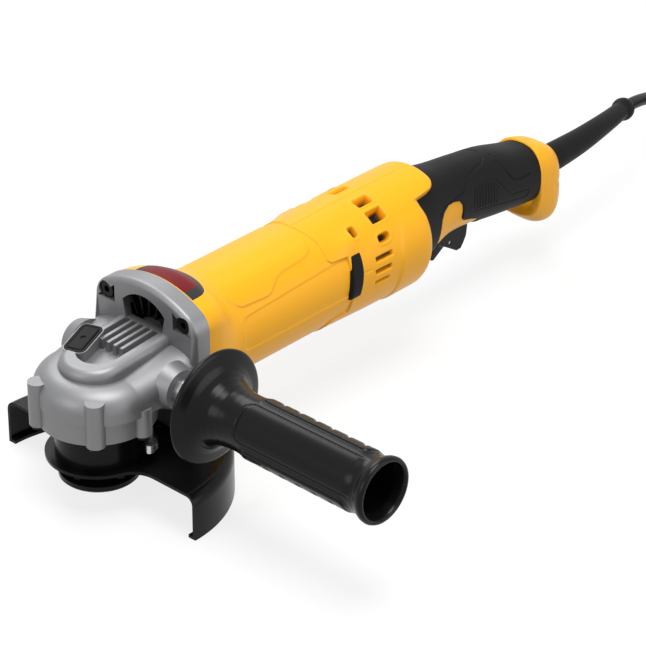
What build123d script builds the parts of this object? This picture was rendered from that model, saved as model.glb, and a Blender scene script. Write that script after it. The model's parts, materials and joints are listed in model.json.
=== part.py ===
from build123d import *
import os
from math import atan2, cos, degrees, pi, radians, sin, sqrt, tan

# Angle grinder with a long trigger handle. Millimetres, +Z up.
# The origin is on the spindle axis at the wheel seat, and the handle lies towards +X.

# Clearances
running_gap = 0.05  # radial, a shaft in its bore or a stud in its thread
seat_gap = 0.02  # radial, a bearing or core in its seat
joint_gap = 0.35  # between pieces that move past each other
skin_gap = 0.1  # between rubber and the shell that it covers

# Main places
axis_z = 45.0  # motor axis above the wheel seat
floor_z = -20.0  # lower rim of the guard
motor_axis = Axis((0, 0, axis_z), (1, 0, 0))

# Gear case
barrel_r = 30.5
parting_z = 37.5  # joint of the case and the bearing retainer
shoulder_z = 53.0
shoulder_half = 33.0
shoulder_round = 12.0
flange_x = 34.0
flange_depth = 11.0
flange_wall = 4.5
flange_half_w = 36.0
flange_top_z = 86.0
flange_low_z = 8.0
flange_arch_r = 60.0
flange_top_corner = 12.0
flange_corner = 13.0
flange_round = 3.0
dome_r = 18.5
dome_front_z = 59.5
dome_rise = 4.0  # slope of the dome towards the flange, degrees
dome_round = 4.8
recess_half = 12.0
recess_x = 3.0  # centre of its round front end
recess_depth = 5.5
rib_count = 4
rib_thick = 1.8
lug_r = 5.0
lug_place_r = 30.0
lug_angles = (150, -135, 85, -85)
lug_top_z = 50.0
lug_screw_r = 2.1
case_screw_spread = 27.5
case_screw_r = 2.5
case_screw_head_r = 4.4
screw_pocket = ((20.8, 77.8), (33.3, 67.8), (20.8, 67.8))  # hollow round each upper screw, Y and Z
vent_half = 15.0
vent_low_z = 62.0
vent_side_z = 72.0
vent_high_z = 79.0
handle_x = 22.5
boss_r = 13.0
boss_y = 38.0
stud_r = 7.0
stud_depth = 14.5
chamber_r = 26.0
chamber_top_z = 48.0
pinion_space_r = 9.5
shaft_hole_r = 7.0

# Bearing retainer and its neck
retainer_z = 25.5
retainer_floor = 3.0
neck_r = 20.0
neck_end_z = 9.0
groove_z = 13.0
groove_width = 3.6
groove_depth = 1.4

# Spindle group
spindle_end_z = -14.0
spindle_r = 7.94
spindle_top_z = 53.0
journal_r = 7.5
tip_r = 5.0
bush_r = 7.0
bush_z = 48.2
bush_long = 5.3
spindle_bearing_r = 16.0
spindle_bearing_z = 13.0
spindle_bearing_long = 11.0
flange_r = 21.0
flange_thick = 3.2
pilot_r = 11.1
pilot_long = 3.2
nut_r = 21.1
nut_thick = 3.55
nut_face_z = -5.3
nut_hub_r = 11.0
nut_hole_r = 2.5
nut_hole_pcd = 30.0

# Bevel gears, apex where the two axes cross
ring_teeth = 30
pinion_teeth = 10
ring_pitch_r = 22.0
tooth_long = 7.5
tooth_add = 1.15
tooth_ded = 1.55
tooth_half_tip = 0.42
tooth_half_root = 0.98
gear_thick = 5.5
gear_hub_top_z = 38.0

# Spindle lock
lock_x = 4.0
lock_y = 10.5
lock_travel = 3.5
lock_pin_r = 2.2
lock_hole_r = 2.6
lock_holes = 6
button_spot = (4.6, 13.3)
button_yaw = 15.0
button_tilt = 10.0
button_top_z = 62.6  # at its middle
button_low_z = 57.8
button_long = 18.0
button_wide = 9.0
button_rim = 2.4
button_corner = 1.6
spring_wire = 0.7
spring_r = 2.75
spring_turns = 3

# Guard
guard_r = 68.5
guard_thick = 1.8
guard_top_z = 5.5
guard_round = 6.0
guard_lip = 3.0
guard_front_x = -0.4
guard_ring_r = 27.5
guard_blend = 14.0
collar_thick = 2.2
collar_top_z = 25.0
collar_tab = 0.9
lever_angle = -60.0
lever_pin_place_r = 27.0
lever_pin_r = 1.6
lever_thick = 2.5
lever_z = 14.0
lever_tip = (9.0, -30.0)
lever_tip_end = (5.5, -31.5)
lever_tip_high = 4.5
lever_nose = (18.5, -18.5)

# Side handle
rim_r = 30.5
rim_y = -59.5
hub_r = 13.6
horn_y = -78.5
grip_r = 15.4
grip_start_y = -88.0
handle_end_y = -174.0
handle_end_r = 17.7
handle_bore_r = 13.0
pad_rise = 1.1
pad_notches = 6

# Motor
housing_x = flange_x + flange_depth
housing_r = 30.6
housing_wall = 3.4
seam_x = 142.0
tongue_x = 157.0
tongue_half = 17.0
spigot_r = 29.2
housing_end_x = 160.0
shaft_r = 6.0
pinion_shaft_r = 4.0
front_bearing_r = 14.0
front_bearing_x = 34.5
front_bearing_long = 8.0
rear_bearing_r = 11.0
rear_bearing_x = 159.0
rear_bearing_long = 7.0
fan_r = 26.0
fan_x = 50.0
fan_long = 14.0
fan_blades = 13
core_r = 20.2
core_x = 82.0
core_long = 48.0
core_slots = 12
slot_wide = 3.6
slot_floor_r = 12.0
air_gap = 0.6
winding_long = 8.0
commutator_r = 12.5
commutator_x = 140.5
commutator_long = 13.5
commutator_bars = 24
brush_x = 147.0
brush_wide = 6.0
brush_high = 5.0
holder_wall = 2.2

# Rear housing and handle
rear_wall = 2.3
rear_r = 31.6
rear_swell = 0.7
rear_end_x = 222.0
rear_corner = 8.0
hood_end_x = 238.0
hood_low_z = 70.0
hood_half = 20.4
hood_inner_r = 27.5
hood_round = 8.0
bumper_x = 157.6
bumper_long = 8.0
bumper_floor_r = 30.5
bumper_r = 32.7
bumper_z = 49.75
bumper_half = 11.2
rubber_thick = 2.0
shell_wall = 2.6
# handle sections: X, height of the centre, half width, half height
handle_sections = (
    (214.0, 46.5, 22.0, 27.5),
    (238.0, 46.5, 19.5, 26.0),
    (254.0, 47.5, 18.0, 21.5),
    (275.0, 46.0, 17.2, 19.8),
    (300.0, 42.6, 17.0, 19.0),
    (323.0, 38.2, 16.6, 17.0),
    (346.0, 35.0, 16.6, 16.6),
)
section_round = 0.82  # corner radius as a share of the half width
tail_front_x = 331.0
tail_end_x = 365.0
tail_half = 19.5
tail_round = 7.0
boot_z = 34.5
boot_r = 6.8
module_x = 188.0
module_long = 34.0
module_half = 16.0
module_low_z = 30.0
module_high = 24.0
switch_x = 262.0
switch_long = 36.0
switch_half = 8.5
switch_low_z = 37.0
switch_high = 15.0
web_thick = 2.0
post_r = 3.6
post_places = ((182.0, 67.5), (182.0, 22.5), (312.0, 47.0), (250.0, 61.0))
screw_r = 1.5
screw_head_r = 2.9

# Trigger
trigger_half = 7.5
trigger_pivot = (255.0, 33.0)
trigger_pin_r = 1.6
trigger_pin_half = 12.0
lever_pivot = (262.4, 20.6)
lock_lever_half = 3.0
lock_lever_pin_r = 1.2

# Cord
cord_d = 7.5
boot_bore_r = cord_d / 2 + 0.15
coil_centre = (615.0, 15.0)
coil_r = 62.0
coil_pitch = cord_d + 2.2
coil_layer = cord_d + 0.7
coil_half_turns = 8
tie_thick = 1.5
tie_wide = 12.0
lead_points = (
    (336, 0, boot_z),
    (374, 0, boot_z),
    (414, 5, 34.3),
    (450, 15, 30.5),
    (484, 27, 18.7),
    (516, 40, 3),
    (547, 56, -10),
    (577, 77, -14.65),
    (607.5, 77, -14.65),
)

os.makedirs("parts", exist_ok=True)


def finish(piece, name):
    piece.part.label = name
    export_step(piece.part, f"parts/{name}.step")


def turned(outline):
    # face for a body turned about the motor axis, from (x, radius) pairs
    with BuildSketch(Plane.XZ) as face:
        with BuildLine():
            Polyline(*[(x, axis_z + r) for x, r in outline], close=True)
        make_face()
    return face.sketch


def side_face(points):
    # face in the XZ plane from (x, z) points
    with BuildSketch(Plane.XZ) as face:
        with BuildLine():
            Polyline(*points, close=True)
        make_face()
    return face.sketch


def arched(x, half_w, top_z, top_r, top_corner, low_z, low_corner):
    # rounded square with an arched top, across the motor axis at x
    arch_z = top_z - top_r
    corner_z = arch_z + sqrt((top_r - top_corner) ** 2 - (half_w - top_corner) ** 2)
    lean = atan2(half_w - top_corner, corner_z - arch_z)
    meet = (top_r * sin(lean), arch_z + top_r * cos(lean))
    with BuildSketch(Plane.YZ.offset(x)) as face:
        with BuildLine():
            ThreePointArc(meet, (0, top_z), (-meet[0], meet[1]))
            TangentArc((-half_w, corner_z), (-meet[0], meet[1]), tangent=(0, 1))
            Line((-half_w, corner_z), (-half_w, low_z + low_corner))
            TangentArc((-half_w, low_z + low_corner), (-half_w + low_corner, low_z), tangent=(0, -1))
            Line((-half_w + low_corner, low_z), (half_w - low_corner, low_z))
            TangentArc((half_w, low_z + low_corner), (half_w - low_corner, low_z), tangent=(0, -1))
            Line((half_w, low_z + low_corner), (half_w, corner_z))
            TangentArc((half_w, corner_z), meet, tangent=(0, 1))
        make_face()
    return face.sketch


def upright(outline):
    # face for a body turned about the spindle axis, from (radius, z) pairs
    return side_face(outline)


def radial_plane(x, angle):
    # plane on the motor axis that faces outwards, angle measured from the top towards -Y
    return Plane((x, 0, axis_z), x_dir=(1, 0, 0), z_dir=(0, -sin(radians(angle)), cos(radians(angle))))


def lug_spots(radius):
    return [(radius * cos(radians(a)), radius * sin(radians(a))) for a in lug_angles]


lever_pin_spot = (lever_pin_place_r * cos(radians(lever_angle)),
                  lever_pin_place_r * sin(radians(lever_angle)))
case_screw_spots = [(y, axis_z + z) for y in (case_screw_spread, -case_screw_spread)
                    for z in (case_screw_spread, -case_screw_spread)]

# Gear case
dome_plane = Plane((0, 0, dome_front_z + dome_r * tan(radians(dome_rise))),
                   x_dir=(1, 0, tan(radians(dome_rise))),
                   z_dir=(-sin(radians(dome_rise)), 0, cos(radians(dome_rise))))
recess_end_x = flange_x + flange_wall
spring_floor_z = chamber_top_z + 1.2
with BuildPart() as dome:
    with BuildSketch(Plane.XY.offset(chamber_top_z)):
        Circle(dome_r)
        with Locations((flange_x / 2, 0)):
            Rectangle(flange_x, 2 * dome_r)
    extrude(amount=dome_front_z)
    split(bisect_by=dome_plane, keep=Keep.BOTTOM)
    rim = dome.faces().sort_by(Axis.Z)[-1].edges().filter_by_position(Axis.X, -dome_r - 1, flange_x - 1)
    fillet(rim, dome_round)
    rib_step = 2 * recess_half / (rib_count + 1)
    with BuildSketch(dome_plane):
        with Locations(((recess_end_x + recess_x) / 2, 0)):
            Rectangle(recess_end_x - recess_x, 2 * recess_half)
        with Locations((recess_x, 0)):
            Circle(recess_half)
        with Locations((recess_end_x / 2 + recess_half, 0)):
            with GridLocations(1, rib_step, 1, rib_count):
                Rectangle(recess_end_x + 2, rib_thick, mode=Mode.SUBTRACT)
    extrude(amount=-recess_depth, mode=Mode.SUBTRACT, taper=6)

with BuildPart() as rear_flange:
    extrude(arched(flange_x, flange_half_w, flange_top_z, flange_arch_r, flange_top_corner, flange_low_z,
                   flange_corner),
            amount=flange_depth)
    fillet(rear_flange.faces().sort_by(Axis.X)[0].edges(), flange_round)

button_plane = Plane((*button_spot, button_top_z), x_dir=(1, 0, tan(radians(button_tilt))),
                     z_dir=(-sin(radians(button_tilt)), 0, cos(radians(button_tilt))))


def button_block(low_z, grow, top):
    # upright block on the button's outline, its top cut on the button's slope
    with BuildPart() as block:
        with BuildSketch(Plane.XY.offset(low_z)):
            with Locations(Location((*button_spot, 0), (0, 0, button_yaw))):
                RectangleRounded(button_long + 2 * grow, button_wide + 2 * grow, button_corner + grow)
        extrude(amount=2 * (button_top_z - low_z))
        split(bisect_by=button_plane.offset(top), keep=Keep.BOTTOM)
    return block.part


with BuildPart() as gear_case:
    with BuildSketch(Plane.XY.offset(parting_z)):
        Circle(barrel_r)
        with Locations((flange_x, 0)):
            Rectangle(1, 2 * shoulder_half)
        make_hull()
    extrude(amount=shoulder_z - parting_z)
    fillet(gear_case.edges().group_by(Axis.Z)[-1].filter_by_position(Axis.X, -barrel_r - 1, flange_x - 1),
           shoulder_round)
    add(rear_flange.part)
    add(dome.part)
    add(button_block(chamber_top_z, button_rim, -0.5))
    with BuildSketch(Plane.XY.offset(parting_z)):
        with Locations(*lug_spots(lug_place_r)[:2]):
            Circle(lug_r)
    extrude(amount=lug_top_z - parting_z)
    with BuildSketch(Plane.XY.offset(parting_z)):
        with Locations(*lug_spots(lug_place_r)[2:]):
            Circle(lug_r)
    extrude(amount=shoulder_z - shoulder_round - parting_z)
    for side in (1, -1):
        with BuildSketch(Plane.XZ.offset(side * boss_y)):
            with Locations((handle_x, axis_z)):
                Circle(boss_r)
        extrude(amount=side * (barrel_r - boss_y))
    # gear chamber, pinion space and shaft passage
    with BuildSketch(Plane.XY.offset(parting_z)):
        Circle(chamber_r)
    extrude(amount=chamber_top_z - parting_z, mode=Mode.SUBTRACT)
    with BuildSketch(Plane.YZ.offset(chamber_r - 2)):
        with Locations((0, axis_z)):
            Circle(pinion_space_r)
    extrude(amount=-chamber_r + pinion_space_r, mode=Mode.SUBTRACT)
    with BuildSketch(Plane.XY.offset(axis_z)):
        Circle(pinion_space_r)
    extrude(amount=bush_z - axis_z, mode=Mode.SUBTRACT)
    with BuildSketch(Plane.XY.offset(bush_z)):
        Circle(bush_r + seat_gap)
    extrude(amount=bush_long, mode=Mode.SUBTRACT)
    revolve(turned([(chamber_r - 3, 0), (chamber_r - 3, shaft_hole_r), (front_bearing_x, shaft_hole_r),
                    (front_bearing_x, front_bearing_r + seat_gap), (housing_x, front_bearing_r + seat_gap),
                    (housing_x, 0)]), axis=motor_axis, mode=Mode.SUBTRACT)
    # hollow of the flange, with the bearing boss left standing
    revolve(turned([(flange_x + flange_wall, front_bearing_r + 3), (housing_x, front_bearing_r + 3),
                    (housing_x, housing_r - housing_wall),
                    (flange_x + flange_wall, housing_r - housing_wall)]),
            axis=motor_axis, mode=Mode.SUBTRACT)
    # arched exhaust vent
    with BuildSketch(Plane.YZ.offset(flange_x - 1)):
        with BuildLine():
            Polyline((-vent_half, vent_side_z), (-vent_half + 2, vent_low_z), (vent_half - 2, vent_low_z),
                     (vent_half, vent_side_z))
            ThreePointArc((vent_half, vent_side_z), (0, vent_high_z), (-vent_half, vent_side_z))
        make_face()
    extrude(amount=flange_depth + 1, mode=Mode.SUBTRACT)
    # screws to the motor housing, seats of the heads sunk into the front of the flange
    with BuildSketch(Plane.YZ.offset(flange_x - 1)):
        with Locations(*case_screw_spots):
            Circle(case_screw_head_r + 0.4)
        for side in (1, -1):
            with BuildLine():
                Polyline(*[(side * y, z) for y, z in screw_pocket], close=True)
            make_face()
    extrude(amount=flange_wall + 1, mode=Mode.SUBTRACT)
    with BuildSketch(Plane.YZ.offset(flange_x)):
        with Locations(*case_screw_spots):
            Circle(case_screw_r + seat_gap)
    extrude(amount=flange_depth, mode=Mode.SUBTRACT)
    # retainer screws, handle studs, spindle lock
    with BuildSketch(Plane.XY.offset(parting_z)):
        with Locations(*lug_spots(lug_place_r)):
            Circle(lug_screw_r + seat_gap)
    extrude(amount=7, mode=Mode.SUBTRACT)
    with BuildSketch(Plane.XZ.offset(boss_y)):
        with Locations((handle_x, axis_z)):
            Circle(stud_r + running_gap)
    extrude(amount=-stud_depth, mode=Mode.SUBTRACT)
    with BuildSketch(Plane.XZ.offset(-boss_y)):
        with Locations((handle_x, axis_z)):
            Circle(stud_r)
    extrude(amount=stud_depth, mode=Mode.SUBTRACT)
    with BuildSketch(Plane.XY.offset(chamber_top_z)):
        with Locations((lock_x, lock_y)):
            Circle(lock_pin_r + 0.15)
    extrude(amount=20, mode=Mode.SUBTRACT)
    with BuildSketch(Plane.XY.offset(spring_floor_z)):
        with Locations((lock_x, lock_y)):
            Circle(spring_r + spring_wire / 2 + joint_gap)
    extrude(amount=20, mode=Mode.SUBTRACT)
    add(button_block(button_low_z - lock_travel - 0.5, joint_gap, 4), mode=Mode.SUBTRACT)
finish(gear_case, "gear_case")

with BuildPart() as bearing_retainer:
    with BuildSketch(Plane.XY.offset(retainer_z)):
        Circle(barrel_r)
        with Locations(*lug_spots(lug_place_r)):
            Circle(lug_r)
    extrude(amount=parting_z - retainer_z)
    with BuildSketch(Plane.XY.offset(retainer_z + retainer_floor)):
        Circle(chamber_r)
    extrude(amount=parting_z - retainer_z - retainer_floor, mode=Mode.SUBTRACT)
    revolve(upright([(spindle_bearing_r - 3, neck_end_z), (neck_r, neck_end_z), (neck_r, groove_z),
                     (neck_r - groove_depth, groove_z), (neck_r - groove_depth, groove_z + groove_width),
                     (neck_r, groove_z + groove_width), (neck_r, retainer_z),
                     (spindle_bearing_r - 3, retainer_z)]),
            axis=Axis.Z)
    with BuildSketch(Plane.XY.offset(spindle_bearing_z)):
        Circle(spindle_bearing_r + seat_gap)
    extrude(amount=parting_z, mode=Mode.SUBTRACT)
    with BuildSketch(Plane.XY.offset(neck_end_z)):
        Circle(spindle_bearing_r - 3)
    extrude(amount=spindle_bearing_z - neck_end_z, mode=Mode.SUBTRACT)
    with BuildSketch(Plane.XY.offset(retainer_z)):
        with Locations(*lug_spots(lug_place_r)):
            Circle(lug_screw_r + seat_gap)
    extrude(amount=parting_z - retainer_z, mode=Mode.SUBTRACT)
    with BuildSketch(Plane.XY.offset(retainer_z)):
        with Locations(lever_pin_spot):
            Circle(lever_pin_r + seat_gap)
    extrude(amount=5, mode=Mode.SUBTRACT)
finish(bearing_retainer, "bearing_retainer")

with BuildPart() as retainer_screws:
    with BuildSketch(Plane.XY.offset(retainer_z)):
        with Locations(*lug_spots(lug_place_r)):
            Circle(lug_screw_r)
    extrude(amount=parting_z - retainer_z + 6)
    with BuildSketch(Plane.XY.offset(retainer_z)):
        with Locations(*lug_spots(lug_place_r)):
            Circle(1.7 * lug_screw_r)
            RegularPolygon(1.0, 6, mode=Mode.SUBTRACT)
    extrude(amount=-2.2)
finish(retainer_screws, "retainer_screws")

with BuildPart() as gear_case_screws:
    with BuildSketch(Plane.YZ.offset(flange_x + flange_wall)):
        with Locations(*case_screw_spots):
            Circle(case_screw_r)
    extrude(amount=flange_depth - flange_wall + 9)
    with BuildSketch(Plane.YZ.offset(flange_x + flange_wall)):
        with Locations(*case_screw_spots):
            Circle(case_screw_head_r)
            RegularPolygon(2.0, 6, mode=Mode.SUBTRACT)
    extrude(amount=-3.5)
finish(gear_case_screws, "gear_case_screws")

baffle_half = vent_half - 2.4
with BuildPart() as fan_baffle:
    revolve(turned([(housing_x - 2.5, front_bearing_r + 3.5), (housing_x, front_bearing_r + 3.5),
                    (housing_x, housing_r - housing_wall - 0.2),
                    (housing_x - 2.5, housing_r - housing_wall - 0.2)]),
            axis=motor_axis)
    with BuildSketch(Plane.YZ.offset(housing_x)):
        with BuildLine():
            Polyline((-baffle_half, vent_side_z), (-baffle_half, vent_low_z), (baffle_half, vent_low_z),
                     (baffle_half, vent_side_z))
            ThreePointArc((baffle_half, vent_side_z), (0, vent_high_z - 0.4), (-baffle_half, vent_side_z))
        make_face()
    extrude(amount=-2.5)
    for angle in range(-24, 25, 12):
        with BuildSketch(Plane.YZ.offset(housing_x - 2.5)):
            with Locations((0, axis_z)):
                with PolarLocations(26, 1, start_angle=90 + angle):
                    Rectangle(10, 1.2)
        extrude(amount=-4.6)
finish(fan_baffle, "fan_baffle")

# Bearings and the spindle
with BuildPart() as spindle_bearing:
    revolve(upright([(journal_r + running_gap, spindle_bearing_z), (spindle_bearing_r, spindle_bearing_z),
                     (spindle_bearing_r, spindle_bearing_z + spindle_bearing_long),
                     (journal_r + running_gap, spindle_bearing_z + spindle_bearing_long)]), axis=Axis.Z)
finish(spindle_bearing, "spindle_bearing")

with BuildPart() as spindle_bush:
    revolve(upright([(tip_r + running_gap, bush_z), (bush_r, bush_z), (bush_r, bush_z + bush_long - 0.3),
                     (tip_r + running_gap, bush_z + bush_long - 0.3)]), axis=Axis.Z)
finish(spindle_bush, "spindle_bush")

gear_seat_z = spindle_bearing_z + spindle_bearing_long + 2
with BuildPart() as spindle:
    revolve(upright([(0, spindle_end_z), (spindle_r - 1, spindle_end_z), (spindle_r, spindle_end_z + 1),
                     (spindle_r, 0),
                     (spindle_r, flange_thick + 5), (journal_r + 2.5, flange_thick + 5),
                     (journal_r + 2.5, spindle_bearing_z), (journal_r, spindle_bearing_z),
                     (journal_r, bush_z - 8),
                     (tip_r, bush_z - 8), (tip_r, spindle_top_z - 1), (tip_r - 1, spindle_top_z),
                     (0, spindle_top_z)]),
            axis=Axis.Z)
finish(spindle, "spindle")

with BuildPart() as backing_flange:
    revolve(upright([(spindle_r + seat_gap, -pilot_long), (pilot_r - 0.4, -pilot_long),
                     (pilot_r, -pilot_long + 0.4),
                     (pilot_r, 0), (flange_r - 0.5, 0), (flange_r, 0.5), (flange_r, flange_thick),
                     (journal_r + 6, flange_thick), (journal_r + 5, flange_thick + 5),
                     (spindle_r + seat_gap, flange_thick + 5)]), axis=Axis.Z)
finish(backing_flange, "backing_flange")

with BuildPart() as clamp_nut:
    revolve(upright([(spindle_r + running_gap, nut_face_z - nut_thick), (nut_hub_r, nut_face_z - nut_thick),
                     (nut_r - 1, nut_face_z - nut_thick), (nut_r, nut_face_z - nut_thick + 1),
                     (nut_r, nut_face_z),
                     (nut_hub_r, nut_face_z), (nut_hub_r - 0.4, -pilot_long - joint_gap),
                     (spindle_r + running_gap, -pilot_long - joint_gap)]), axis=Axis.Z)
    with BuildSketch(Plane.XY.offset(nut_face_z)):
        with PolarLocations(nut_hole_pcd / 2, 4):
            Circle(nut_hole_r)
    extrude(amount=-nut_thick, mode=Mode.SUBTRACT)
finish(clamp_nut, "clamp_nut")

# Bevel gear pair: each tooth is a ruled loft that narrows towards the apex
apex = Vector(0, 0, axis_z)
pinion_cone = atan2(pinion_teeth, ring_teeth)
cone_long = ring_pitch_r / cos(pinion_cone)


def bevel_tooth(axis_dir, out_dir, cone):
    # tooth on the pitch element that leans out from the gear axis by the cone angle
    along = axis_dir * cos(cone) + out_dir * sin(cone)
    normal = out_dir * cos(cone) - axis_dir * sin(cone)
    across = normal.cross(along)
    with BuildPart() as tooth:
        for reach in (cone_long, cone_long - tooth_long):
            share = reach / cone_long
            with BuildSketch(Plane(apex + along * reach, x_dir=across, z_dir=along)):
                with BuildLine():
                    Polyline((-tooth_half_root * share, -tooth_ded * share),
                             (tooth_half_root * share, -tooth_ded * share),
                             (tooth_half_tip * share, tooth_add * share),
                             (-tooth_half_tip * share, tooth_add * share),
                             close=True)
                make_face()
        loft(ruled=True)
    return tooth.part


def cone_point(cone, reach, height):
    # distance along the gear axis and radius of a point at a height over the pitch cone
    return reach * cos(cone) - height * sin(cone), reach * sin(cone) + height * cos(cone)


ring_cone = pi / 2 - pinion_cone
root_height = -tooth_ded + 0.12
inner_long = cone_long - tooth_long
rim_margin = 0.3  # the ring's body runs on a little past both ends of its teeth
with BuildPart() as ring_gear:
    far, far_r = cone_point(ring_cone, cone_long + rim_margin, root_height)
    near, near_r = cone_point(ring_cone, inner_long - rim_margin, root_height * inner_long / cone_long)
    revolve(upright([(journal_r + seat_gap, gear_hub_top_z), (near_r, gear_hub_top_z),
                     (near_r, axis_z - near),
                     (far_r, axis_z - far), (far_r, axis_z - far - gear_thick + 1),
                     (journal_r + 5, axis_z - far - gear_thick), (journal_r + 4, gear_seat_z),
                     (journal_r + seat_gap, gear_seat_z)]), axis=Axis.Z)
    ring_tooth = bevel_tooth(Vector(0, 0, -1), Vector(1, 0, 0), ring_cone)
    ring_step = 360 / ring_teeth
    for tooth_index in range(ring_teeth):
        add(ring_tooth.rotate(Axis.Z, (tooth_index + 0.5) * ring_step))
    with BuildSketch(Plane.XY.offset(gear_hub_top_z)):
        with PolarLocations(sqrt(lock_x**2 + lock_y**2), lock_holes,
                            start_angle=degrees(atan2(lock_y, lock_x))):
            Circle(lock_hole_r)
    extrude(amount=-6, mode=Mode.SUBTRACT)
finish(ring_gear, "ring_gear")

with BuildPart() as pinion:
    far, far_r = cone_point(pinion_cone, cone_long, root_height)
    near, near_r = cone_point(pinion_cone, inner_long, root_height * inner_long / cone_long)
    revolve(turned([(near, pinion_shaft_r - 0.6 + seat_gap), (near, near_r), (far, far_r),
                    (far + 1.2, far_r),
                    (far + 1.2, pinion_shaft_r - 0.6 + seat_gap)]), axis=motor_axis)
    pinion_tooth = bevel_tooth(Vector(1, 0, 0), Vector(0, 0, -1), pinion_cone)
    for tooth_index in range(pinion_teeth):
        add(pinion_tooth.rotate(motor_axis, tooth_index * 360 / pinion_teeth))
finish(pinion, "pinion")

# Spindle lock: button, pin and return spring
with BuildPart() as lock_button:
    add(button_block(button_low_z, 0, 0))
    fillet(lock_button.faces().sort_by(Axis.Z)[-1].edges(), 0.8)
    with BuildSketch(button_plane):
        Circle(1.6)
    extrude(amount=-0.5, mode=Mode.SUBTRACT)
finish(lock_button, "lock_button")

with BuildPart() as lock_pin:
    with BuildSketch(Plane.XY.offset(gear_hub_top_z + 0.6)):
        with Locations((lock_x, lock_y)):
            Circle(lock_pin_r)
    extrude(amount=button_low_z - gear_hub_top_z - 0.6)
    chamfer(lock_pin.faces().sort_by(Axis.Z)[0].edges(), 0.5)
finish(lock_pin, "lock_pin")


def wound_path(centre_xy, radius, low_z, pitch, turns):
    # helix of half turns, each made of two tangent arcs
    x0, y0 = centre_xy
    lift = pitch / 4
    with BuildLine() as path:
        for half in range(2 * turns):
            side = 1 if half % 2 == 0 else -1
            start = (x0, y0 + side * radius, low_z + 2 * half * lift)
            middle = (x0 + side * sqrt(radius**2 + lift**2), y0, start[2] + lift)
            end = (x0, y0 - side * radius, start[2] + 2 * lift)
            TangentArc(start, middle, tangent=(side, 0, 0))
            TangentArc(middle, end, tangent=(0, -side * radius, lift))
    return path.wire()


spring_low_z = spring_floor_z + spring_wire / 2 + 0.1
spring_pitch = (button_low_z - spring_wire / 2 - 0.2 - spring_low_z) / spring_turns
with BuildPart() as lock_spring:
    spring_path = wound_path((lock_x, lock_y), spring_r, spring_low_z, spring_pitch, spring_turns)
    with BuildSketch(Plane(spring_path @ 0, z_dir=spring_path % 0)):
        Circle(spring_wire / 2)
    sweep(path=spring_path)
finish(lock_spring, "lock_spring")

# Guard: pressed half shell and its collar
guard_wall_z = guard_top_z - guard_thick
guard_bend_z = guard_top_z - guard_round
collar_r = neck_r + joint_gap
collar_outer_r = collar_r + collar_thick
skirt_r = guard_r - guard_thick
with BuildPart() as guard_shell:
    with BuildSketch(Plane.XZ):
        with BuildLine():
            Polyline((guard_r - guard_round, guard_top_z), (collar_outer_r + seat_gap, guard_top_z),
                     (collar_outer_r + seat_gap, guard_wall_z), (guard_r - guard_round, guard_wall_z))
            TangentArc((guard_r - guard_round, guard_wall_z), (skirt_r, guard_bend_z), tangent=(1, 0))
            Polyline((skirt_r, guard_bend_z), (skirt_r, floor_z + guard_thick),
                     (skirt_r - guard_lip, floor_z + guard_thick), (skirt_r - guard_lip, floor_z),
                     (guard_r, floor_z), (guard_r, guard_bend_z))
            TangentArc((guard_r, guard_bend_z), (guard_r - guard_round, guard_top_z), tangent=(0, 1))
        make_face()
    revolve(axis=Axis.Z)
    with BuildSketch(Plane.XY.offset(floor_z - 1)) as front_opening:
        with Locations((guard_front_x - guard_r, 0)):
            Rectangle(2 * guard_r, 2 * guard_r + 2)
        Circle(guard_ring_r, mode=Mode.SUBTRACT)
        fillet(front_opening.vertices().filter_by_position(Axis.Y, -guard_ring_r, guard_ring_r),
               guard_blend)
    extrude(amount=guard_top_z - floor_z + 2, mode=Mode.SUBTRACT)
finish(guard_shell, "guard_shell")

with BuildPart() as guard_collar:
    revolve(upright([(collar_r, guard_wall_z), (collar_outer_r, guard_wall_z),
                     (collar_outer_r, collar_top_z),
                     (collar_r, collar_top_z)]), axis=Axis.Z)
    tab_face = upright([(collar_r - collar_tab, groove_z + joint_gap),
                        (collar_r + 0.5, groove_z + joint_gap),
                        (collar_r + 0.5, groove_z + groove_width - joint_gap),
                        (collar_r - collar_tab, groove_z + groove_width - joint_gap)])
    for tab_start in (0, 120, 240):
        revolve(tab_face.rotate(Axis.Z, tab_start), axis=Axis.Z, revolution_arc=30)
finish(guard_collar, "guard_collar")

with BuildPart() as guard_lever:
    for end, end_r in ((lever_tip, 2.8), (lever_nose, 1.8)):
        with BuildSketch(Plane.XY.offset(lever_z)):
            with Locations(lever_pin_spot):
                Circle(3.2)
            with Locations(end):
                Circle(end_r)
            make_hull()
        extrude(amount=lever_thick)
    with BuildSketch(Plane.XY.offset(lever_z)):
        with Locations(lever_tip, lever_tip_end):
            Circle(2.4)
        make_hull()
    extrude(amount=lever_tip_high)
    with BuildSketch(Plane.XY.offset(lever_z)):
        with Locations(lever_pin_spot):
            Circle(lever_pin_r + running_gap)
    extrude(amount=lever_thick, mode=Mode.SUBTRACT)
finish(guard_lever, "guard_lever")

with BuildPart() as lever_pin:
    with BuildSketch(Plane.XY.offset(lever_z - 0.5)):
        with Locations(lever_pin_spot):
            Circle(lever_pin_r)
    extrude(amount=retainer_z + 4.8 - lever_z + 0.5)
    with BuildSketch(Plane.XY.offset(lever_z - joint_gap)):
        with Locations(lever_pin_spot):
            Circle(lever_pin_r + 0.8)
    extrude(amount=-0.8)
finish(lever_pin, "lever_pin")

# Side handle on its stud
handle_axis = Axis((handle_x, 0, axis_z), (0, 1, 0))


def handle_turned(outline):
    # face for a body turned about the side handle's axis, from (y, radius) pairs
    with BuildSketch(Plane.YZ.offset(handle_x)) as face:
        with BuildLine():
            Polyline(*[(y, axis_z + r) for y, r in outline], close=True)
        make_face()
    return face.sketch


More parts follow.
